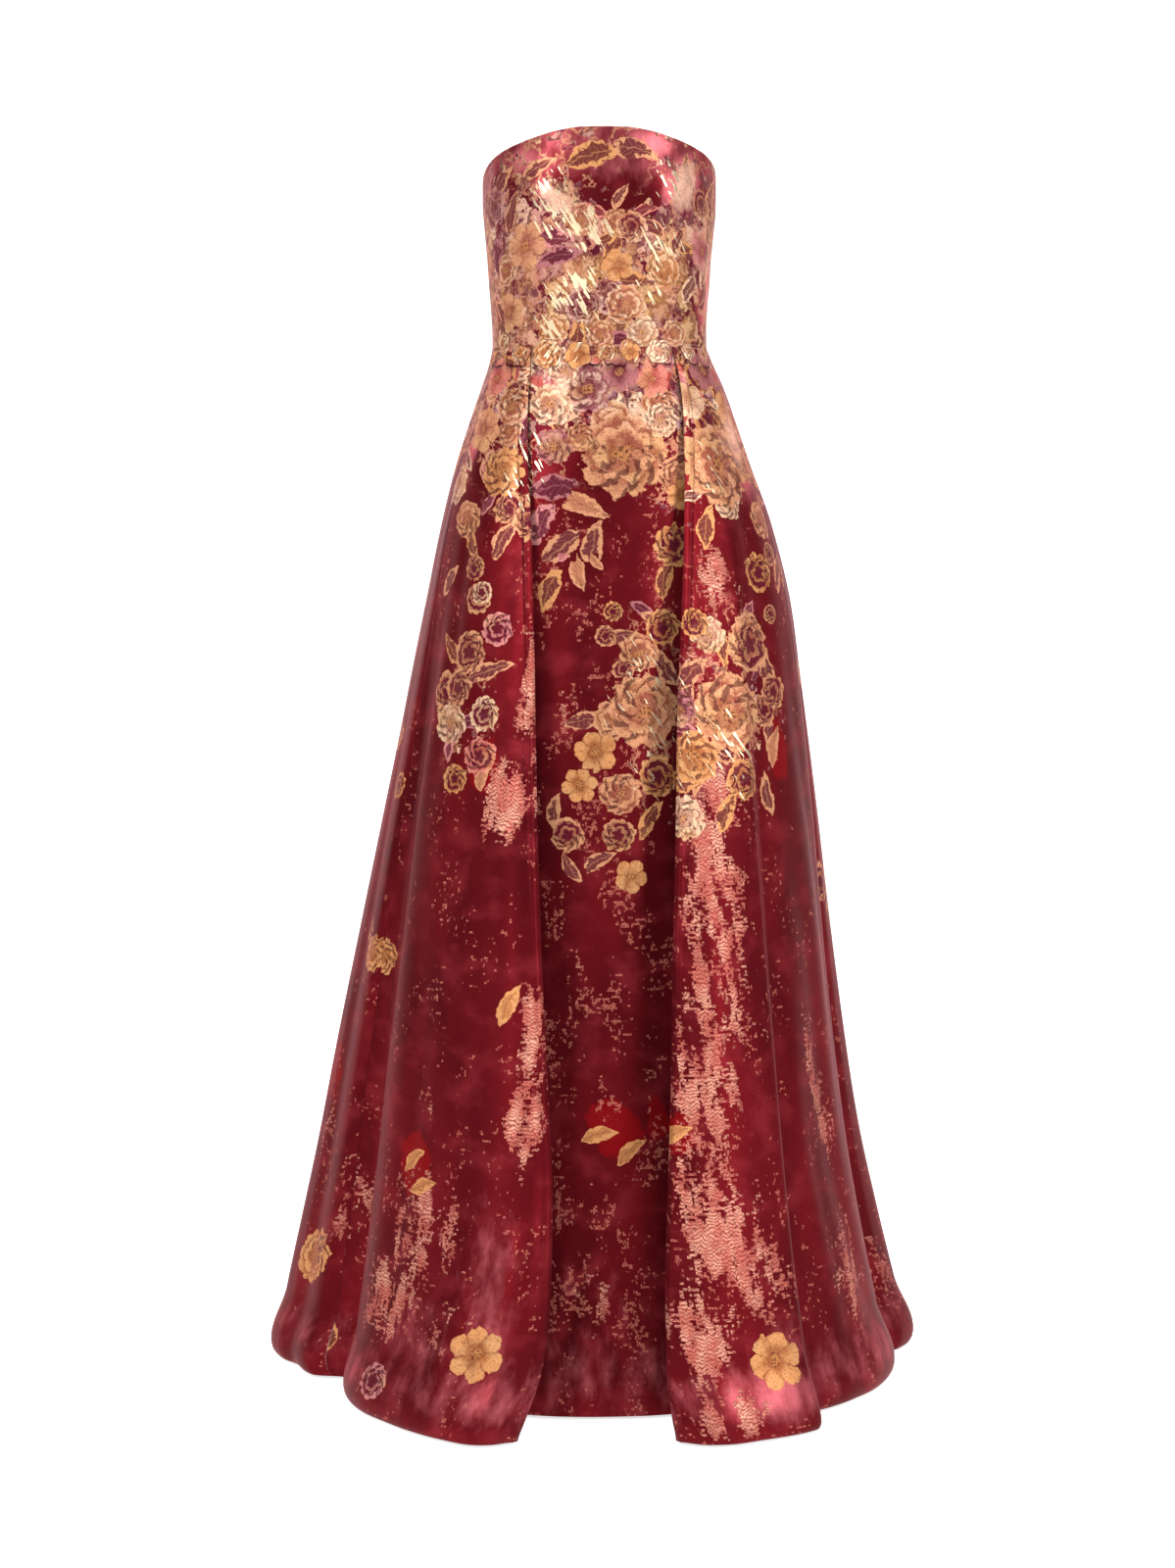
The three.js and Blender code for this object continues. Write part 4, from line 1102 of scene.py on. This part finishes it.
def weave_group():
    """Fine satin ribs and slubs, as a height and a soft change of tone."""
    group, w, get, out = new_group("satin_weave", CUT_ONLY, "Height Tone")
    ribs = w.noise(get["Cut"], (2600, 260), 1)
    slubs = w.noise(get["Cut"], (90, 1100), 1)
    w.feed(out["Height"], slubs * 0.5 + ribs * 0.5)
    w.feed(out["Tone"], slubs)
    return group


GROUPS = {
    "bloom": bloom_group(),
    "leaf": leaf_group(),
    "floats": float_group(),
    "flecks": fleck_group(),
    "petals": petal_cloud_group(),
    "stems": stem_group(),
    "streaks": streak_group(),
    "weave": weave_group(),
}


def new_material(name):
    material = bpy.data.materials.new(name)
    material.use_nodes = True
    return material, Wires(material.node_tree), material.node_tree.nodes["Principled BSDF"]


def emboss(w, shader, height, strength, distance):
    """Raises the surface of a material by a height."""
    bump = w.add("ShaderNodeBump")
    bump.inputs["Strength"].default_value = strength
    bump.inputs["Distance"].default_value = distance
    w.feed(bump.inputs["Height"], height)
    w.feed(shader.inputs["Normal"], Value(w, bump.outputs[0]))


def motif_colours(w, layer):
    """The light, deep and line colours that the code of a motif layer stands for."""
    code = w.split(w.layer(layer))[2]
    index = w.whole(w.math("MODULO", code, 6))
    return w.steps(index, PETAL_LIGHT), w.steps(index, PETAL_DEEP), w.steps(index, PETAL_LINE)


def add_leaf(w, colour, height, layer, wobble):
    leaf = w.use(GROUPS["leaf"], Place=w.layer(layer), Wobble=wobble)
    light, deep, _ = motif_colours(w, layer)
    body = w.mix(leaf["Solid"], w.mix(0.25, PLUM, deep), w.mix(0.45, deep, light))
    body = w.mix(leaf["Rib"] * 0.45, body, w.mix(leaf["Solid"], light, INK_AND_PAINTED_SHADE))
    body = w.mix(leaf["Rim"] * 0.9, body, light)
    return w.mix(leaf["Cover"], colour, body), w.larger(height, leaf["Cover"])


def add_bloom(w, colour, height, layer, wobble, gilt, pale, drawn):
    bloom = w.use(GROUPS["bloom"], Place=w.layer(layer), Wobble=wobble)
    light, deep, line = motif_colours(w, layer)
    body = w.mix(bloom["Shade"], deep, light)
    body = w.mix(gilt, body, w.mix(bloom["Shade"], GILT_DEEP, GILT_LIGHT))
    body = w.mix(bloom["Pale"] * pale, body, PETAL_PALE)
    body = w.mix(bloom["Line"] * (0.3 * drawn), body, line)
    body = w.mix(bloom["Heart"] * 0.6, body, HEART_GOLD)
    body = w.mix(bloom["Rim"], w.mix(0.3, PLUM, WINE), body)
    body = w.mix(bloom["Ink"] * (0.72 * drawn), body, INK_AND_PAINTED_SHADE)
    cover = bloom["Cover"] * (0.62 + 0.32 * drawn)
    return w.mix(cover, colour, body), w.larger(height, bloom["Cover"])


def jacquard(name, petals, darkness, gloss, tint, drawn=1.0):
    """The figured satin: a wine ground with petals, flecks, floats, leaves, flowers and gold.

    Darkness scales the whole tone and gloss is the roughness of the ground. The tint is that of its shine,
    and drawn says how clearly the flowers are drawn.
    """
    material, w, shader = new_material(name)
    cut = w.cut()
    floats_at, flecks_at, streaks_at = w.split(w.layer("zones"))
    hip, below, coral = w.split(w.layer("washes"))
    pink_at, bronze_at, crimson_at = w.split(w.layer("tones"))
    wander = w.noise(cut, (70, 70), 3, 0.6, output=1)
    wobble = w.stretched(w.vector("SUBTRACT", wander, (0.5, 0.5, 0.5)), (0.42, 0.42))
    weave = w.use(GROUPS["weave"], Cut=cut)
    broad = w.noise(cut, (12, 3), 3)
    brush = w.noise(cut, (50, 24), 4, 0.62)
    spots = w.noise(w.vector("ADD", w.stretched(cut, (26, 30)), (7, 3, 1)), (1, 1), 3)
    colour = w.mix(w.between(broad, 0.3, 0.7), WINE_DEEP, WINE)
    colour = w.mix(w.between(spots, 0.45, 0.75) * 0.5, colour, WINE_LIGHT)
    # Painted sheen: pink, and pale painted highlight, where the first tone is strong, broken up by the
    # brush noise
    glow = pink_at * 0.62 + brush * 0.5
    satin = w.mix(w.between(glow, 0.78, 1), PAINTED_SHEEN_PINK, PAINTED_HIGHLIGHT_PALE)
    colour = w.mix(w.between(glow, 0.42, 0.84), colour, satin)
    colour = w.mix(w.between(hip, 0.45, 0.85, 0, 0.55), colour, PLUM)
    patch = w.between((brush - 0.5) * 1.5 + crimson_at, 0.4, 0.62)
    colour = w.mix(patch * 0.72, colour, CRIMSON)
    cloud = w.use(GROUPS["petals"], Cut=cut, Wobble=wobble)
    petal = w.steps(w.whole(cloud["Cell"]), petals)
    petal = w.mix(cloud["Shade"], w.mix(0.42, petal, PLUM), w.mix(0.26, petal, CLOUD_PALE))
    petal = w.mix(cloud["Gap"] * 0.75, petal, PLUM)
    red = w.between(coral * 0.3 + (1 - spots), 0.72, 0.84)
    petal = w.mix(red * 0.6, petal, CORAL_RED)
    bronze = w.between(bronze_at * 0.5 + brush, 0.84, 1.06)
    petal = w.mix(bronze * 0.45, petal, BRONZE)
    grain = w.split(wobble)[2]
    there = w.between(hip * 0.5 + (grain * 1.1 + brush), 0.8, 0.84) * w.between(hip, 0.03, 0.12)
    colour = w.mix(there, colour, petal)
    fleck = w.use(GROUPS["flecks"], Cut=cut, Strength=flecks_at)["Cover"]
    colour = w.mix(fleck * 0.6, colour, PINK_FLOAT)
    floats = w.use(GROUPS["floats"], Cut=cut, Strength=floats_at)
    float_tone = w.mix(w.between(brush, 0.4, 0.62), PINK_FLOAT, PINK_PALE)
    float_tone = w.mix(floats["Ridge"], FLOAT_SHADOW, float_tone)
    colour = w.mix(floats["Cover"] * w.between(floats_at, 0.55, 1, 0.5, 0.88), colour, float_tone)
    stem = w.use(GROUPS["stems"], Cut=cut, Wobble=wobble)["Cover"]
    stem = stem * w.between(hip, 0.12, 0.3) * w.between(spots, 0.44, 0.52, 0, 0.85)
    colour = w.mix(stem, colour, STEM_ROSE)
    motif_height = w.larger(fleck, there)
    gilt = w.between(spots, 0.48, 0.62) * 0.6
    pale = w.between(hip, 0.5, 0.9, 0, 0.6)
    for layer in ("leaf_under", "leaf_top"):
        colour, motif_height = add_leaf(w, colour, motif_height, layer, wobble)
    for layer in ("bloom_under", "bloom_top"):
        colour, motif_height = add_bloom(w, colour, motif_height, layer, wobble, gilt, pale, drawn)
    marks = w.noise(cut, (420, 330), 2, 0.6)
    worn = w.between(marks, 0.54, 0.62) * (motif_height * 0.45)
    colour = w.mix(worn, colour, WORN_BROWN)
    # Painted highlight laid over the motifs where the painted sheen is strongest
    shine = w.between(spots * 0.2 + glow, 0.84, 1.12, 0, 0.55)
    colour = w.mix(shine, colour, PAINTED_HIGHLIGHT_PALE)
    # Painted shadow: a dark line along the scalloped edge of the cut-round flowers at the waist, for their
    # dark cut edge with the shadow under it, and painted shade fading out below it
    edge = w.between(abs(grain * 0.7 + below), 0.08, 0.18, 0.92, 0)
    shaded = w.between(below, 0, 0.9, 0.5, 0) * w.between(below, -0.05, 0.05)
    colour = w.mix(w.larger(edge, shaded), colour, INK_AND_PAINTED_SHADE)
    streaks = w.use(GROUPS["streaks"], Cut=cut, Strength=streaks_at)["Cover"]
    colour = w.mix(streaks * 0.9, colour, GOLD_THREAD)
    tone = w.between(weave["Tone"], 0.3, 0.7, 0.93, 1.05) * darkness
    colour = w.mix(1, colour, w.join(tone, tone, tone), blend="MULTIPLY")
    w.feed(shader.inputs["Base Color"], colour)
    relief = floats["Cover"] * floats["Ridge"] * 0.9 + streaks * 0.8 + weave["Height"] * 0.25
    emboss(w, shader, relief, 0.55, 0.0009)
    w.feed(shader.inputs["Roughness"], motif_height * 0.05 + gloss - streaks * 0.12)
    metal = w.larger(streaks * 0.8, floats["Cover"] * 0.45)
    ground = motif_height * -0.12 + 0.42
    w.feed(shader.inputs["Metallic"], w.larger(metal, ground))
    shader.inputs["Specular Tint"].default_value = tint
    shader.inputs["Specular IOR Level"].default_value = 0.1
    shader.inputs["Sheen Weight"].default_value = 0.28
    shader.inputs["Sheen Roughness"].default_value = 0.4
    shader.inputs["Sheen Tint"].default_value = SHEEN_ROSE
    return material


def reverse_cloth():
    """The plain reverse of the jacquard, seen inside the gown."""
    material, w, shader = new_material("jacquard_reverse")
    cut = w.cut()
    weave = w.use(GROUPS["weave"], Cut=cut)
    broad = w.noise(cut, (30, 12), 4)
    colour = w.mix(w.between(broad, 0.35, 0.65), REVERSE, REVERSE_LIGHT)
    w.feed(shader.inputs["Base Color"], w.mix(weave["Tone"] * 0.4, colour, WINE_DEEP))
    emboss(w, shader, weave["Height"], 0.3, 0.0006)
    shader.inputs["Roughness"].default_value = 0.6
    shader.inputs["Sheen Weight"].default_value = 0.2
    return material


# The gown's pieces


def skirt_rows(step):
    return shares_of(HEM_DROP, step) * (HEM_DROP - SEAM_GAP / 2) + SEAM_GAP / 2


def skirt_height(turn, drop):
    return -drop + 0 * turn


def hem_lip(level):
    """A soft outward lip just above the hem that tucks in again at the fold of the hem."""
    rise = np.clip((level - HEM_LIP["start"]) / (HEM_LIP["crest"] - HEM_LIP["start"]), 0, 1)
    tuck = np.clip((level - HEM_LIP["crest"]) / (HEM_DROP - HEM_LIP["crest"]), 0, 1)
    return HEM_LIP["rise"] * rise * rise * (3 - 2 * rise) - HEM_LIP["tuck"] * tuck**3


def overskirt_panel(name, start, end, width, open_side):
    panel = Panel(
        name, "overskirt_jacquard", start, end, skirt_rows(ROW_STEP["overskirt"]), overskirt_radius,
        skirt_height, OVERSKIRT_WALL, COLUMN_STEP["overskirt"], width, OVERSKIRT_CREASES,
    )
    relief = panel.relief * np.clip(panel.level / 60, 0, 1) + hem_lip(panel.level)
    seams = {"start", "end"} - {open_side}
    relief += panel.seam_roll(seams)
    if open_side:
        away = panel.from_start if open_side == "start" else panel.to_end
        share = np.clip(away / FRONT_EDGE_ROLL["width"], 0, 1)
        roll = FRONT_EDGE_ROLL["rise"] * np.clip(panel.level / 90, 0, 1)
        relief += roll * (np.sin(np.pi * share) - 1.4 * (1 - share) ** 3)
    panel.raise_by(relief)
    panel.measure()
    return panel


def underskirt_panel(name, start, end, width):
    panel = Panel(
        name, "underskirt_jacquard", start, end, skirt_rows(ROW_STEP["underskirt"]), underskirt_radius,
        skirt_height, UNDERSKIRT_WALL, COLUMN_STEP["underskirt"], width, UNDERSKIRT_CREASES,
    )
    relief = panel.relief * np.clip((panel.level - 30) / 120, 0, 1) + 0.4 * hem_lip(panel.level)
    panel.raise_by(relief + panel.seam_roll({"start", "end"}))
    panel.measure()
    return panel


def bodice_panel(name, start, end, width):
    def height_at(turn, row):
        top = smooth(TOP_EDGE["turn"], TOP_EDGE["height"], np.abs(turn))
        return SEAM_GAP / 2 + (1 - row) * (top - SEAM_GAP / 2)

    def radius_at(turn, row):
        return bodice_radius(turn, height_at(turn, row))

    panel = Panel(
        name, "bodice_jacquard", start, end, shares_of(BODICE_TALL, ROW_STEP["bodice"]), radius_at,
        height_at, BODICE_WALL, COLUMN_STEP["bodice"], width, BODICE_CREASES,
    )
    panel.raise_by(panel.relief * np.clip(-panel.level / 12, 0, 1) + panel.seam_roll({"start", "end"}))
    panel.measure()
    return panel


def fixed(turn):
    return lambda rows: np.full(rows.shape, float(turn))


def all_panels():
    """Every panel and the family of its pattern. The width of a panel sets how many columns it gets."""
    seam, back = OVERSKIRT_SIDE_SEAM, CENTRE_BACK
    yield "overskirt", overskirt_panel(
        "overskirt_front_left", fixed(-seam), lambda rows: opening_turn(-1, rows), 340.0, "end")
    yield "overskirt", overskirt_panel(
        "overskirt_front_right", lambda rows: opening_turn(1, rows), fixed(seam), 380.0, "start")
    yield "overskirt", overskirt_panel("overskirt_back_left", fixed(-back), fixed(-seam), 760.0, None)
    yield "overskirt", overskirt_panel("overskirt_back_right", fixed(seam), fixed(back), 760.0, None)
    side = UNDERSKIRT_SIDE_SEAM
    yield "underskirt", underskirt_panel("underskirt_front", fixed(-side), fixed(side), 710.0)
    yield "underskirt", underskirt_panel("underskirt_back_left", fixed(-back), fixed(-side), 400.0)
    yield "underskirt", underskirt_panel("underskirt_back_right", fixed(side), fixed(back), 400.0)
    fore, aft = BODICE_SIDE_FRONT_SEAM, BODICE_SIDE_BACK_SEAM
    yield "bodice", bodice_panel("bodice_front", fixed(-fore), fixed(fore), 270.0)
    yield "bodice", bodice_panel("bodice_side_left", fixed(-aft), fixed(-fore), 116.0)
    yield "bodice", bodice_panel("bodice_side_right", fixed(fore), fixed(aft), 116.0)
    yield "bodice", bodice_panel("bodice_back_left", fixed(-back), fixed(-aft), 112.0)
    yield "bodice", bodice_panel("bodice_back_right", fixed(aft), fixed(back), 112.0)


def declare(piece, node, slot):
    """Hangs a piece of cloth from the gown's body and hides the solid that it dresses. The slot, what it
    is made of, is not used.
    """
    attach(piece, "gown")
    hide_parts(node)


def make_panels(cloths):
    for seed, (family, panel) in enumerate(all_panels()):
        lay_pattern(panel, family, FIRST_DRAW + seed)
        piece = shell(panel, [cloths[family], cloths["reverse"]])
        spread = np.ptp(panel.across, axis=0).max() * MM
        area = panel.flat_area() * MM * MM
        held = "stretched" if family == "bodice" else "hung"
        declare(piece, panel.name, panel.slot)


# Cut-out flowers and leaves on the waist seam, and the zip

# Turn, height, size, height for its width, petals, depth of notches, tilt, colour and kind
WAIST_MOTIFS = {
    "waist_leaf_left_end": (-66, 5, 10, 1.6, 3, 0.16, 12, PEACH, PEONY),
    "waist_bud_left": (-53, -5, 8, 0.9, 4, 0.18, 30, GOLD, PEONY),
    "waist_flower_left": (-36, -8, 17, 1, 7, 0.14, 10, GOLD, PEONY),
    "waist_flower_centre": (-17, -9, 15.5, 1.1, 5, 0.2, -24, GOLD, SIMPLE),
    "waist_petals_centre": (1.5, -5, 11, 1.1, 4, 0.22, 40, PEACH, PEONY),
    "waist_leaf_centre": (18, -5, 11, 1.5, 2, 0.12, 35, GOLD, SIMPLE),
    "waist_flower_right": (36, -5, 14.5, 0.95, 6, 0.12, 0, CREAM, PEONY),
    "waist_bud_right": (55, -4, 9.5, 1.1, 4, 0.2, -20, CREAM, PEONY),
    "waist_leaf_right_end": (72, -2, 9, 0.8, 3, 0.14, 15, PEACH, PEONY),
}
MOTIF_LAYERS = {"zones": (0, 0.3, 0.55), "washes": (1.0, -9.0, 0.2), "tones": (0, 0.9, 0)}
MOTIF_LIFT = 0.4
MOTIF_WALL = 1.0
MOTIF_CROWN = 0.5
MOTIF_EDGE_FALL = 0.35
RINGS = 10
SPOKES = 84


def motif_bed(turn, height):
    """Outer face under a waist motif: the bodice above the seam, below it the skirt that shows there."""
    drop = np.maximum(-height, 0)
    waist = bodice_radius(turn, np.maximum(height, 0))
    edge = np.where(turn < 0, -opening_turn(-1, drop), opening_turn(1, drop))
    skirt = np.where(np.abs(turn) > edge - 1, overskirt_radius(turn, drop), underskirt_radius(turn, drop))
    return np.where(height >= 0, waist, np.maximum(waist, skirt))


def waist_motif(name, material, edging):
    turn, height, size, tall, petals, notch, tilt, colour, kind = WAIST_MOTIFS[name]
    angle = np.arange(SPOKES) / SPOKES * 2 * math.pi
    ring = (np.arange(RINGS + 1) / RINGS)[:, None]
    reach = size * ring * (1 - notch * (1 - np.cos(petals * angle)) * 0.5 * ring)
    flat_x, flat_y = reach * np.cos(angle), reach * tall * np.sin(angle)
    lean = math.radians(tilt)
    x = flat_x * math.cos(lean) - flat_y * math.sin(lean)
    y = flat_x * math.sin(lean) + flat_y * math.cos(lean)
    at_turn = turn + np.degrees(x / bodice_radius(float(turn), 0.0))
    at_height = height + y
    radius = motif_bed(at_turn, at_height)
    crown = MOTIF_CROWN * (1 - ring**2) + 0 * angle
    wall = MOTIF_WALL * (1 - MOTIF_EDGE_FALL * ring**6)
    top = polar(at_turn, radius + MOTIF_LIFT + wall + crown, at_height)
    bottom = polar(at_turn, radius + MOTIF_LIFT, at_height)
    points = np.concatenate([top.reshape(-1, 3), bottom.reshape(-1, 3)]) * MM
    number = np.arange((RINGS + 1) * SPOKES).reshape(RINGS + 1, SPOKES)
    following = np.roll(number, -1, axis=1)
    back = number.size
    upper = np.stack([number[:-1], number[1:], following[1:], following[:-1]], -1).reshape(-1, 4)
    rim = np.stack([number[-1], number[-1] + back, following[-1] + back, following[-1]], -1)
    faces = np.concatenate([upper, upper[:, ::-1] + back, rim])
    mesh = bpy.data.meshes.new(name)
    mesh.from_pydata(points.tolist(), [], faces.tolist())
    mesh.polygons.foreach_set("use_smooth", np.ones(len(faces), bool))
    mesh.materials.append(material)
    mesh.materials.append(edging)
    mesh.polygons.foreach_set("material_index", np.repeat((0, 1, 1), (len(upper), len(upper), len(rim))))
    corner = faces.ravel() % back
    place = np.stack([x.ravel(), y.ravel()], -1)
    on_cloth = (place + (turn * 2, height)) * MM
    mesh.uv_layers.new(name="cut").data.foreach_set("uv", on_cloth[corner].ravel())
    inside = np.concatenate([place / (size * 1.02), np.full((back, 1), colour + kind + 0.4)], -1)
    empty = np.full((back, 3), FAR_AWAY)
    for layer in ("bloom_top", "bloom_under", "leaf_top", "leaf_under"):
        store(mesh, layer, "CORNER", (inside if layer == "bloom_top" else empty)[corner])
    for layer, strength in MOTIF_LAYERS.items():
        store(mesh, layer, "POINT", np.tile(strength, 2 * back).astype(float))
    piece = linked(name + "_cloth", mesh)
    bpy.ops.object.select_all(action="DESELECT")
    piece.select_set(True)
    bpy.context.view_layer.objects.active = piece
    bpy.ops.object.mode_set(mode="EDIT")
    bpy.ops.mesh.select_all(action="SELECT")
    bpy.ops.mesh.remove_doubles(threshold=0.00001)
    bpy.ops.mesh.normals_make_consistent(inside=False)
    bpy.ops.object.mode_set(mode="OBJECT")
    spread = tuple(round(float(np.ptp(flat)) * MM, 4) for flat in (flat_x, flat_y))
    wedge = 0.5 * math.sin(2 * math.pi / SPOKES) * tall
    area = float(np.sum(reach[-1] * np.roll(reach[-1], -1))) * wedge * MM * MM
    declare(piece, name, "waist_motif_jacquard")


def zip_brass():
    material, w, shader = new_material("zip_brass")
    place = w.outputs(w.add("ShaderNodeTexCoord"))["Object"]
    grain = w.noise(place, (900, 900, 300), 2)
    w.feed(shader.inputs["Base Color"], w.mix(grain, BRASS_DEEP, BRASS_LIGHT))
    w.feed(shader.inputs["Roughness"], w.between(grain, 0.3, 0.7, 0.28, 0.4))
    shader.inputs["Metallic"].default_value = 0.9
    return material


# Stage, light and camera

CAMERA = {
    "lens": 70.0,
    "sensor": 36.0,
    "distance": 3.484,
    "azimuth": -3.0,
    "elevation": 6.5,
    "aim": (-0.0127, 0.0, -0.4924),
}
# Place, aim, width and height in metres, and power
LIGHTS = {
    "key_window": ((-2.0, -2.8, 1.5), (0, 0, -0.3), (1.0, 1.8), 92),
    "fill_right": ((2.3, -2.6, 0.9), (0, 0, -0.5), (0.8, 2.0), 74),
    "overhead": ((0, -1.2, 2.4), (0, -0.1, -0.8), (1.6, 0.8), 40),
}
WORLD_LIGHT = 0.2
FLOOR = {
    "front": -9.0,
    "bend": 5.0,
    "radius": 2.0,
    "steps": 12,
    "top": 9.0,
    "side": 14.0,
    "below_hem": 0.004,
}
FLOOR_GREY = (0.9, 0.9, 0.9, 1)
FLOOR_GLOW = 0.72


def make_camera():
    azimuth, elevation = math.radians(CAMERA["azimuth"]), math.radians(CAMERA["elevation"])
    level = math.cos(elevation)
    back = np.array([math.sin(azimuth) * level, -math.cos(azimuth) * level, math.sin(elevation)])
    bpy.ops.object.camera_add()
    camera = bpy.context.object
    camera.data.lens = CAMERA["lens"]
    camera.data.sensor_width = CAMERA["sensor"]
    camera.location = np.array(CAMERA["aim"]) + back * CAMERA["distance"]
    camera.rotation_euler = (math.pi / 2 - elevation, 0, azimuth)
    bpy.context.scene.camera = camera


def area_light(name, place, aim, size, power):
    bpy.ops.object.light_add(type="AREA", location=place)
    light = bpy.context.object
    light.name = name
    light.data.shape = "RECTANGLE"
    light.data.size, light.data.size_y = size
    light.data.energy = power
    direction = np.array(aim) - np.array(place)
    yaw = math.atan2(-direction[0], direction[1])
    pitch = math.atan2(math.hypot(direction[0], direction[1]), -direction[2])
    light.rotation_euler = (pitch, 0, yaw)


def make_lights():
    for name, (place, aim, size, power) in LIGHTS.items():
        area_light(name, place, aim, size, power)
    world = bpy.data.worlds.new("studio")
    world.use_nodes = True
    world.node_tree.nodes["Background"].inputs["Color"].default_value = WHITE
    world.node_tree.nodes["Background"].inputs["Strength"].default_value = WORLD_LIGHT
    bpy.context.scene.world = world
    bpy.context.scene.view_settings.view_transform = "Standard"


def make_floor():
    """A pale studio sweep: a floor that curves up into a wall far behind the gown."""
    level = -HEM_DROP * MM - FLOOR["below_hem"]
    bend, radius = FLOOR["bend"], FLOOR["radius"]
    profile = [(FLOOR["front"], 0.0), (bend, 0.0)]
    for i in range(1, FLOOR["steps"] + 1):
        angle = i / FLOOR["steps"] * math.pi / 2
        profile.append((bend + radius * math.sin(angle), radius * (1 - math.cos(angle))))
    profile.append((bend + radius, FLOOR["top"]))
    points = [(x, y, level + z) for x in (-FLOOR["side"], FLOOR["side"]) for y, z in profile]
    count = len(profile)
    faces = [(i, i + count, i + count + 1, i + 1) for i in range(count - 1)]
    mesh = bpy.data.meshes.new("studio_floor")
    mesh.from_pydata(points, [], faces)
    mesh.polygons.foreach_set("use_smooth", [True] * len(faces))
    floor = linked("studio_floor", mesh)
    material, _, shader = new_material("pale_floor")
    shader.inputs["Base Color"].default_value = FLOOR_GREY
    shader.inputs["Roughness"].default_value = 0.8
    shader.inputs["Emission Color"].default_value = WHITE
    shader.inputs["Emission Strength"].default_value = FLOOR_GLOW
    mesh.materials.append(material)


bpy.ops.object.select_all(action="DESELECT")
cloths = {
    "overskirt": jacquard("overskirt_jacquard", HIP_PETALS, 1.0, 0.38, WINE_SHEEN),
    # The underskirt's darkness 0.88 is painted shade: the same cloth darkened for its place behind the
    # overskirt
    "underskirt": jacquard("underskirt_jacquard", HIP_PETALS, 0.88, 0.4, WINE_SHEEN),
    "motif": jacquard("waist_motif_jacquard", BODICE_PETALS, 0.95, 0.36, PEACH_SHEEN),
    "bodice": jacquard("bodice_jacquard", BODICE_PETALS, 0.92, 0.34, PEACH_SHEEN, 0.7),
    "reverse": reverse_cloth(),
}
make_panels(cloths)
for name in WAIST_MOTIFS:
    waist_motif(name, cloths["motif"], cloths["reverse"])
brass = zip_brass()
for node in ("zip_slider", "zip_pull_tab"):
    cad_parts[node].data.materials.clear()
    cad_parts[node].data.materials.append(brass)
make_camera()
make_lights()
make_floor()
